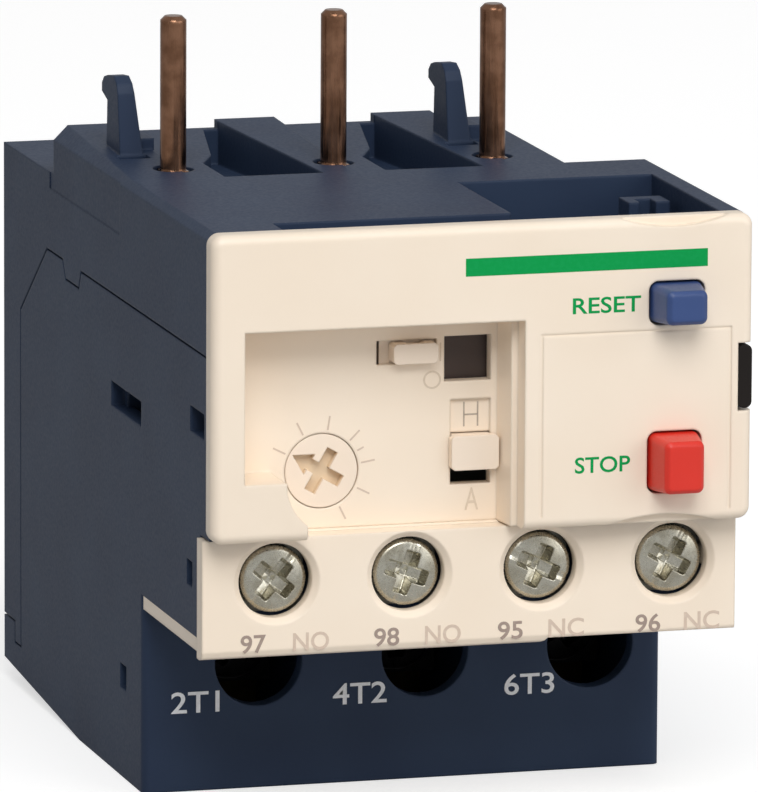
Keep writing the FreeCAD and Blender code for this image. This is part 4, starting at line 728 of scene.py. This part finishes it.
# ---- sub-assemblies ----
@dataclass
class Housings:
    """Upper and lower housing with the snap latch, and the terminal marks of the power side."""

    mark_height: float = 1.78 * MM
    mark_drop: float = 4.0 * MM
    mark_weight: float = 0.01
    joint: float = 0.2 * MM
    marks: tuple[PrintedMark, ...] = (PrintedMark("2T1", -7.4 * MM, 4.1 * MM),
                                      PrintedMark("4T2", -7.85 * MM, 4.6 * MM),
                                      PrintedMark("6T3", -7.35 * MM, 4.3 * MM))

    def build(self) -> None:
        """Dress the mouldings and print the marks beside the driver holes."""
        WARDROBE.dress(HOUSING, "upper_housing", "lower_housing")
        WARDROBE.dress(LATCH, "side_latch")
        WARDROBE.dress(FRAME, "mechanism_frame")
        front = Place.of("terminal_cover").high.y + self.joint
        for pole, mark in zip(POLES, self.marks):
            centre = Place.of(f"load_screw_{pole}").middle
            lettering(f"mark_{mark.words}", mark.words, centre.x + mark.left,
                      centre.z - self.mark_drop, mark.width, self.mark_height, front, PALE_INK,
                      self.mark_weight)


@dataclass
class FrontCover:
    """Cream cover and terminal strip with their printing."""

    word_height: float = 1.32 * MM
    word_rise: float = 0.05 * MM
    word_weight: float = 0.012
    reset_word: PrintedMark = PrintedMark("RESET", -8.72 * MM, 5.7 * MM)
    stop_word: PrintedMark = PrintedMark("STOP", -8.34 * MM, 4.63 * MM)
    bar_width: float = 20.2 * MM
    bar_height: float = 1.45 * MM
    bar_inset: float = 3.9 * MM
    bar_drop: float = 2.65 * MM

    def build(self) -> None:
        """Dress the two covers and print the words and the bar."""
        WARDROBE.dress(COVER, "front_cover", "terminal_cover")
        cover = Place.of("front_cover")
        face = cover.low.y
        for button, word in (("reset_button", self.reset_word), ("stop_button", self.stop_word)):
            centre = Place.of(button).middle
            lettering(f"word_{word.words}", word.words, centre.x + word.left,
                      centre.z + self.word_rise - self.word_height / 2, word.width,
                      self.word_height, face, GREEN_INK, self.word_weight)
        right = cover.high.x - self.bar_inset
        top = cover.high.z - self.bar_drop
        left = right - self.bar_width
        bar = np.array([[[left, top - self.bar_height], [right, top - self.bar_height],
                         [right, top], [left, top]]])
        film("bar_green", bar, face, GREEN_INK)


@dataclass
class Controls:
    """Buttons, setting dial, reset selector, test tab and trip flag, with their marks."""

    floor_rise: float = 0.05 * MM
    tick_angles: tuple[float, ...] = (153, 117, 81, 45, 27, 9, -27, -63)
    tick_inner: float = 3.35 * MM
    tick_outer: float = 4.5 * MM
    tick_width: float = 0.14 * MM
    short_tick: int = 4
    short_outer: float = 3.95 * MM
    drive_depth: float = 0.35 * MM
    lip_inner: float = 2.9 * MM
    lip_outer: float = 3.05 * MM
    lip_depth: float = 0.22 * MM
    lip_bulge: float = 0.1 * MM
    lip_back: float = 0.3 * MM
    line: float = 0.13 * MM
    ring_radius: float = 0.75 * MM
    ring_line: float = 1.2 * 0.13 * MM
    ring_inset: float = 0.5 * MM
    ring_drop: float = 0.65 * MM
    ring_step: int = 15
    bar_gap: float = 0.12 * MM
    bar_rise: float = 0.85 * MM
    bar_length: float = 1.5 * MM
    pad_drop: float = 0.35 * MM
    letter_left: float = 0.45 * MM
    letter_width: float = 1.15 * MM
    upper_drop: float = 1.3 * MM
    upper_height: float = 2.0 * MM
    upper_bridge: float = 0.45
    lower_drop: float = 3.45 * MM
    lower_height: float = 1.85 * MM
    sill_left: float = 8.2 * MM
    sill_right: float = 25.85 * MM
    sill_front: float = 1.62 * MM
    sill_rear: float = 2.3 * MM
    sill_rise: float = 0.01 * MM
    sill_drop: float = 0.25 * MM
    sill_round: float = 0.4

    def dial_marks(self, floor: float) -> None:
        """Print the dial's scale: long strokes round the dial, and one short one.

        Args:
            floor: The recess floor's y position.
        """
        pivot = next(j for j in frame["joints"] if j["name"] == "dial_turn")["pos_m"]
        angles = np.array(self.tick_angles)
        inner = np.full(len(angles), self.tick_inner)
        outer = np.full(len(angles), self.tick_outer)
        outer[self.short_tick] = self.short_outer
        ticks = strokes((pivot[0], pivot[2]), angles, inner, outer, self.tick_width)
        film("dial_scale", ticks, floor, TAN_INK)

    def dial_lip(self) -> None:
        """Fill the mouth of the dial's gap with the dial's own thin lip.

        The lip is a ring whose section is a half ellipse that bulges to the front: radius
        runs from the dial's edge outwards, and depth follows the root of one minus the
        square of the distance from the section's middle.
        """
        place = Place.of("setting_dial")
        centre, front = place.middle, place.low.y
        turn = np.linspace(0, 2 * np.pi, 96, endpoint=False)[None, :]
        section = np.linspace(-1, 1, 9)[:, None]
        radius = ((self.lip_inner + self.lip_outer) / 2
                  + section * (self.lip_outer - self.lip_inner) / 2)
        radius = np.concatenate([radius, radius[::-1]])
        bulge = np.sqrt(1 - section ** 2)
        depth = np.concatenate([self.lip_depth - bulge * self.lip_bulge,
                                self.lip_back + 0 * section])
        points = np.stack([centre.x + radius * np.cos(turn),
                           front + depth + 0 * turn,
                           centre.z + radius * np.sin(turn)], -1)
        high, wide = points.shape[:2]
        index = np.arange(high * wide).reshape(high, wide)
        below, after = np.roll(index, -1, 0), np.roll(index, -1, 1)
        faces = np.stack([index, after, np.roll(after, -1, 0), below], -1).reshape(-1, 4)
        sealed(piece_from("setting_dial_lip", points, faces.tolist(), COVER, "setting_dial",
                          True))

    def tab_marks(self, floor: float) -> None:
        """Print a ring and a bar beside the test tab.

        The ring is a run of four-cornered strokes between two radii, a few degrees each.

        Args:
            floor: The recess floor's y position.
        """
        tab = Place.of("test_lever")
        ring_x, ring_z = tab.high.x - self.ring_inset, tab.low.z - self.ring_drop
        turns = np.radians(np.arange(0, 360, self.ring_step))
        after = turns + np.radians(self.ring_step)
        outer, inner = self.ring_radius, self.ring_radius - self.ring_line
        ring = np.stack([np.stack([ring_x + r * np.cos(a), ring_z + r * np.sin(a)], -1)
                         for r, a in ((inner, turns), (outer, turns), (outer, after),
                                      (inner, after))], 1)
        left, foot = tab.high.x + self.bar_gap, tab.low.z + self.bar_rise
        right, top = left + self.line, foot + self.bar_length
        bar = np.array([[[left, foot], [right, foot], [right, top], [left, top]]])
        film("mark_ring_and_bar", np.concatenate([ring, bar]), floor, FAINT_INK)

    def selector_marks(self, floor: float) -> None:
        """Print H over the selector and A under it, in thin strokes.

        Args:
            floor: The recess floor's y position.
        """
        place = Place.of("mode_selector")
        x, z = place.middle.x - self.letter_left, place.high.z - self.upper_drop
        wide, tall, half = self.letter_width, self.upper_height, self.line / 2
        bridge = z + tall * self.upper_bridge
        bars = [[x - half, z, x + half, z + tall],
                [x + wide - half, z, x + wide + half, z + tall],
                [x, bridge, x + wide, bridge + self.line]]
        quads = np.array([[[a, b], [c, b], [c, d], [a, d]] for a, b, c, d in bars])
        film("letter_H", quads, floor + self.pad_drop, STONE_INK)
        lettering("letter_A", "A", x, place.low.z - self.lower_drop, wide, self.lower_height,
                  floor, FAINT_INK)

    def sill(self) -> None:
        """Close the joint under the recess floor with the cover's thin sill.

        The sill's section is a quarter ellipse rolled from the top to the front, carried
        along x from the recess step to its right-hand wall.
        """
        cover, strip = Place.of("front_cover"), Place.of("terminal_cover")
        left, right = cover.low.x + self.sill_left, cover.low.x + self.sill_right
        front, rear = strip.low.y + self.sill_front, strip.low.y + self.sill_rear
        top, bottom = cover.low.z + self.sill_rise, cover.low.z - self.sill_drop
        turn = np.linspace(0, np.pi / 2, 9)
        depth = np.concatenate([rear - (rear - front) * np.sin(turn), [front, rear]])
        share = 1 - self.sill_round + self.sill_round * np.cos(turn)
        height = np.concatenate([bottom + (top - bottom) * share, [bottom, bottom]])
        run = np.linspace(left, right, 2)[:, None]
        points = np.stack([run + 0 * depth, 0 * run + depth, 0 * run + height], -1)
        wide = len(depth)
        index = np.arange(2 * wide).reshape(2, wide)
        after = np.roll(index, -1, 1)
        faces = np.stack([index[0], after[0], after[1], index[1]], -1).tolist()
        faces += [index[0].tolist(), index[1][::-1].tolist()]
        sealed(piece_from("recess_sill", points, faces, COVER, BASE))

    def build(self) -> None:
        """Dress the controls and print the marks of dial, tab and selector."""
        WARDROBE.dress(BLUE, "reset_button")
        WARDROBE.dress(RED, "stop_button")
        WARDROBE.dress(SLIDER, "mode_selector", "test_lever")
        WARDROBE.dress(FLAG, "trip_flag")
        face = Place.of("setting_dial").low.y
        # Faces deeper than drive_depth behind the dial's front take the dial's darker tan:
        # painted shade inside the cut drive.
        WARDROBE.dress(replace(DIAL, painted_shade_depth=face + self.drive_depth), "setting_dial")
        floor = face - self.floor_rise
        self.dial_marks(floor)
        self.dial_lip()
        self.tab_marks(floor)
        self.selector_marks(floor)
        self.sill()


@dataclass(frozen=True)
class AuxMark:
    """Number and letter pair printed under one auxiliary screw, and how far it is turned."""

    digits: PrintedMark
    letters: PrintedMark
    turn: float


@dataclass
class AuxTerminals:
    """Screws, clamps and plates of the four auxiliary terminals, and their numbers."""

    height: float = 1.5 * MM
    drop: float = 5.75 * MM
    weight: float = 0.014
    marks: tuple[AuxMark, ...] = (
        AuxMark(PrintedMark("97", -3.0 * MM, 2.1 * MM), PrintedMark("NO", 1.35 * MM, 3.0 * MM),
                50.0),
        AuxMark(PrintedMark("98", -2.95 * MM, 2.1 * MM), PrintedMark("NO", 1.3 * MM, 3.0 * MM),
                70.0),
        AuxMark(PrintedMark("95", -3.65 * MM, 2.1 * MM), PrintedMark("NC", 0.6 * MM, 3.0 * MM),
                -25.0),
        AuxMark(PrintedMark("96", -3.1 * MM, 2.1 * MM), PrintedMark("NC", 1.0 * MM, 3.0 * MM),
                60.0))

    def build(self) -> None:
        """Dress the metal parts and print a number and a letter pair under each screw."""
        face = Place.of("terminal_cover").low.y
        for mark in self.marks:
            number = mark.digits.words
            replace(AUX_SCREW, turn=mark.turn).build(f"aux_screw_{number}", SCREW_STEEL)
            WARDROBE.dress(CLAMP_STEEL, f"aux_clamp_{number}")
            WARDROBE.dress(BRASS, f"aux_terminal_{number}")
            centre = Place.of(f"aux_screw_{number}").middle
            for part, name, ink in ((mark.digits, f"mark_{number}", GREY_INK),
                                    (mark.letters, f"mark_{mark.letters.words}_{number}",
                                     TAN_INK)):
                lettering(name, part.words, centre.x + part.left, centre.z - self.drop,
                          part.width, self.height, face, ink, self.weight)


@dataclass
class PowerPath:
    """Line pins, heaters, bimetal strips and power terminals."""

    first_turn: float = 20.0
    turn_step: float = 35.0

    def build(self) -> None:
        """Dress every part of the three current paths."""
        for pole in POLES:
            WARDROBE.dress(PIN_COPPER, f"line_pin_{pole}")
            WARDROBE.dress(BIMETAL, f"bimetal_strip_{pole}")
            WARDROBE.dress(HEATER, f"heater_winding_{pole}")
            # Load terminals, clamps and screws sit deep in the cable holes; their near-black
            # finishes are painted shade.
            WARDROBE.dress(HOLE_SHADE_BRASS, f"load_terminal_{pole}")
            WARDROBE.dress(HOLE_SHADE_STEEL, f"load_clamp_{pole}")
            turn = self.first_turn + self.turn_step * pole
            replace(LOAD_SCREW, turn=turn).build(f"load_screw_{pole}", HOLE_SHADE_STEEL)


@dataclass
class TripMechanism:
    """Rocker, carrier, bridges, slides, levers, pins and springs behind the cover."""

    def build(self) -> None:
        """Dress the hidden mechanism."""
        WARDROBE.dress(SLIDE, "adjusting_slide", "trip_rocker", "contact_carrier",
                       "differential_slide_front", "differential_slide_rear",
                       "differential_lever")
        WARDROBE.dress(BRASS, "nc_contact_bridge", "no_contact_bridge")
        WARDROBE.dress(BIMETAL, "compensation_lever")
        WARDROBE.dress(SPRING_STEEL, "rocker_pin", "compensation_pin", "reset_spring",
                       "stop_spring")


@dataclass(frozen=True)
class Lamp:
    """Square soft lamp that looks at the object."""

    name: str
    place: tuple[float, float, float]
    size: float
    watts: float

    def hang(self, target: Sequence[float]) -> None:
        """Hang the lamp so that it looks at a point.

        Args:
            target: Point that the lamp looks at.
        """
        light = bpy.data.lights.new(self.name, "AREA")
        light.size = self.size
        light.energy = self.watts
        lamp = bpy.data.objects.new(self.name, light)
        lamp.location = self.place
        aim = Vector(target) - Vector(self.place)
        lamp.rotation_euler = aim.to_track_quat("-Z", "Y").to_euler()
        bpy.context.scene.collection.objects.link(lamp)


@dataclass
class Studio:
    """Pale floor, soft lamps, plain world and the camera."""

    yaw: float = math.radians(15.924)
    pitch: float = math.radians(10.733)
    roll: float = math.radians(0.290)
    lens: float = 490.9
    distance: float = 0.8956
    target: tuple[float, float, float] = (0.0, 0.0, 0.028)
    aside: float = -0.000792
    upward: float = -0.002164
    lamps: tuple[Lamp, ...] = (Lamp("lamp_key", (-0.2, -1.3, 1.35), 1.1, 24.0),
                               Lamp("lamp_fill", (1.2, -1.1, 0.5), 1.2, 8.0))
    sky_level: float = 0.28
    sky_mirror: float = 0.35
    floor_points: int = 49
    floor_reach: float = 3.0
    floor_flat: float = 0.6
    floor_lift: float = 0.8
    floor_drop: float = 0.05 * MM
    floor_glow: float = 0.62
    floor_mirror: float = 0.1

    def paper(self) -> bpy.types.Material:
        """Return white paper that keeps shadows: grey plus a glow for the camera.

        A mirroring surface sees a tenth of the glow, so that dark walls stay dark.
        """
        material, tree = new_material("studio_paper_white")
        ray = add_node(tree, "LightPath")
        seen = add_node(tree, "Math", {"operation": "MULTIPLY_ADD"}, {1: self.floor_mirror},
                        {0: ray.outputs["Is Glossy Ray"], 2: ray.outputs["Is Camera Ray"]})
        grey = add_node(tree, "BsdfDiffuse", None, {"Color": linear("#c8c8c8")})
        strength = ranged(tree, seen.outputs[0], 0.0, self.floor_glow, 0.0, 1.0)
        glow = add_node(tree, "Emission", None, {"Color": linear("#ffffff")},
                        {"Strength": strength})
        both = add_node(tree, "AddShader", None, None, {0: grey.outputs[0], 1: glow.outputs[0]})
        add_node(tree, "OutputMaterial", None, None, {"Surface": both.outputs[0]})
        return material

    def floor(self) -> None:
        """Lay a shallow dished floor: height rises with the cube of the distance outside."""
        grid = np.linspace(-1.0, 1.0, self.floor_points)
        across, along = np.meshgrid(grid, grid, indexing="ij")
        far = np.clip(np.hypot(across, along) - self.floor_flat, 0, None)
        points = np.stack([across * self.floor_reach, along * self.floor_reach,
                           far ** 3 * self.floor_lift - self.floor_drop], -1).reshape(-1, 3)
        index = np.arange(self.floor_points ** 2).reshape(self.floor_points, -1)
        faces = np.stack([index[:-1, :-1], index[1:, :-1], index[1:, 1:], index[:-1, 1:]],
                         -1).reshape(-1, 4)
        data = bpy.data.meshes.new("studio_floor")
        data.from_pydata(points.tolist(), [], faces.tolist())
        data.polygons.foreach_set("use_smooth", np.full(len(data.polygons), True))
        data.materials.append(self.paper())
        floor = bpy.data.objects.new("studio_floor", data)
        bpy.context.scene.collection.objects.link(floor)

    def world(self) -> None:
        """Light evenly from all round, and show white behind the object."""
        world = bpy.data.worlds.new("studio_world")
        world.use_nodes = True
        tree = world.node_tree
        tree.nodes.clear()
        ray = add_node(tree, "LightPath")
        seen = add_node(tree, "Math", {"operation": "MAXIMUM"}, None,
                        {0: ray.outputs["Is Camera Ray"],
                         1: ray.outputs["Is Transmission Ray"]})
        mirrored = add_node(tree, "Math", {"operation": "MULTIPLY_ADD"}, {1: self.sky_mirror},
                            {0: ray.outputs["Is Glossy Ray"], 2: seen.outputs[0]})
        strength = ranged(tree, mirrored.outputs[0], self.sky_level, 1.0, 0.0, 1.0)
        sky = add_node(tree, "Background", None, {"Color": linear("#ffffff")},
                       {"Strength": strength})
        add_node(tree, "OutputWorld", None, None, {"Surface": sky.outputs[0]})
        bpy.context.scene.world = world

    def camera(self) -> None:
        """Place the camera: forward, right and up follow from yaw and pitch, then roll."""
        forward = Vector((math.sin(self.yaw) * math.cos(self.pitch),
                          math.cos(self.yaw) * math.cos(self.pitch), -math.sin(self.pitch)))
        level = Vector((math.cos(self.yaw), -math.sin(self.yaw), 0.0))
        above = level.cross(forward)
        right = level * math.cos(self.roll) + above * math.sin(self.roll)
        upright = above * math.cos(self.roll) - level * math.sin(self.roll)
        place = (Vector(self.target) - right * self.aside - upright * self.upward
                 - forward * self.distance)
        lens = bpy.data.cameras.new("studio_camera")
        lens.lens = self.lens
        lens.sensor_width = 36.0
        lens.clip_start = 0.01
        lens.clip_end = 20.0
        camera = bpy.data.objects.new("studio_camera", lens)
        turn = Matrix((right, upright, -forward)).transposed()
        camera.matrix_world = Matrix.Translation(place) @ turn.to_4x4()
        bpy.context.scene.collection.objects.link(camera)
        bpy.context.scene.camera = camera

    def build(self) -> None:
        """Set up the whole studio."""
        self.floor()
        self.world()
        for lamp in self.lamps:
            lamp.hang(self.target)
        self.camera()
        bpy.context.scene.view_settings.view_transform = "Standard"


def main() -> None:
    """Build the studio and every sub-assembly in order."""
    logging.basicConfig(level=logging.INFO, format="%(message)s")
    for assembly in (Studio(), Housings(), FrontCover(), Controls(), AuxTerminals(), PowerPath(),
                     TripMechanism()):
        LOG.info("building %s", type(assembly).__name__)
        assembly.build()


if __name__ == "__main__":
    main()
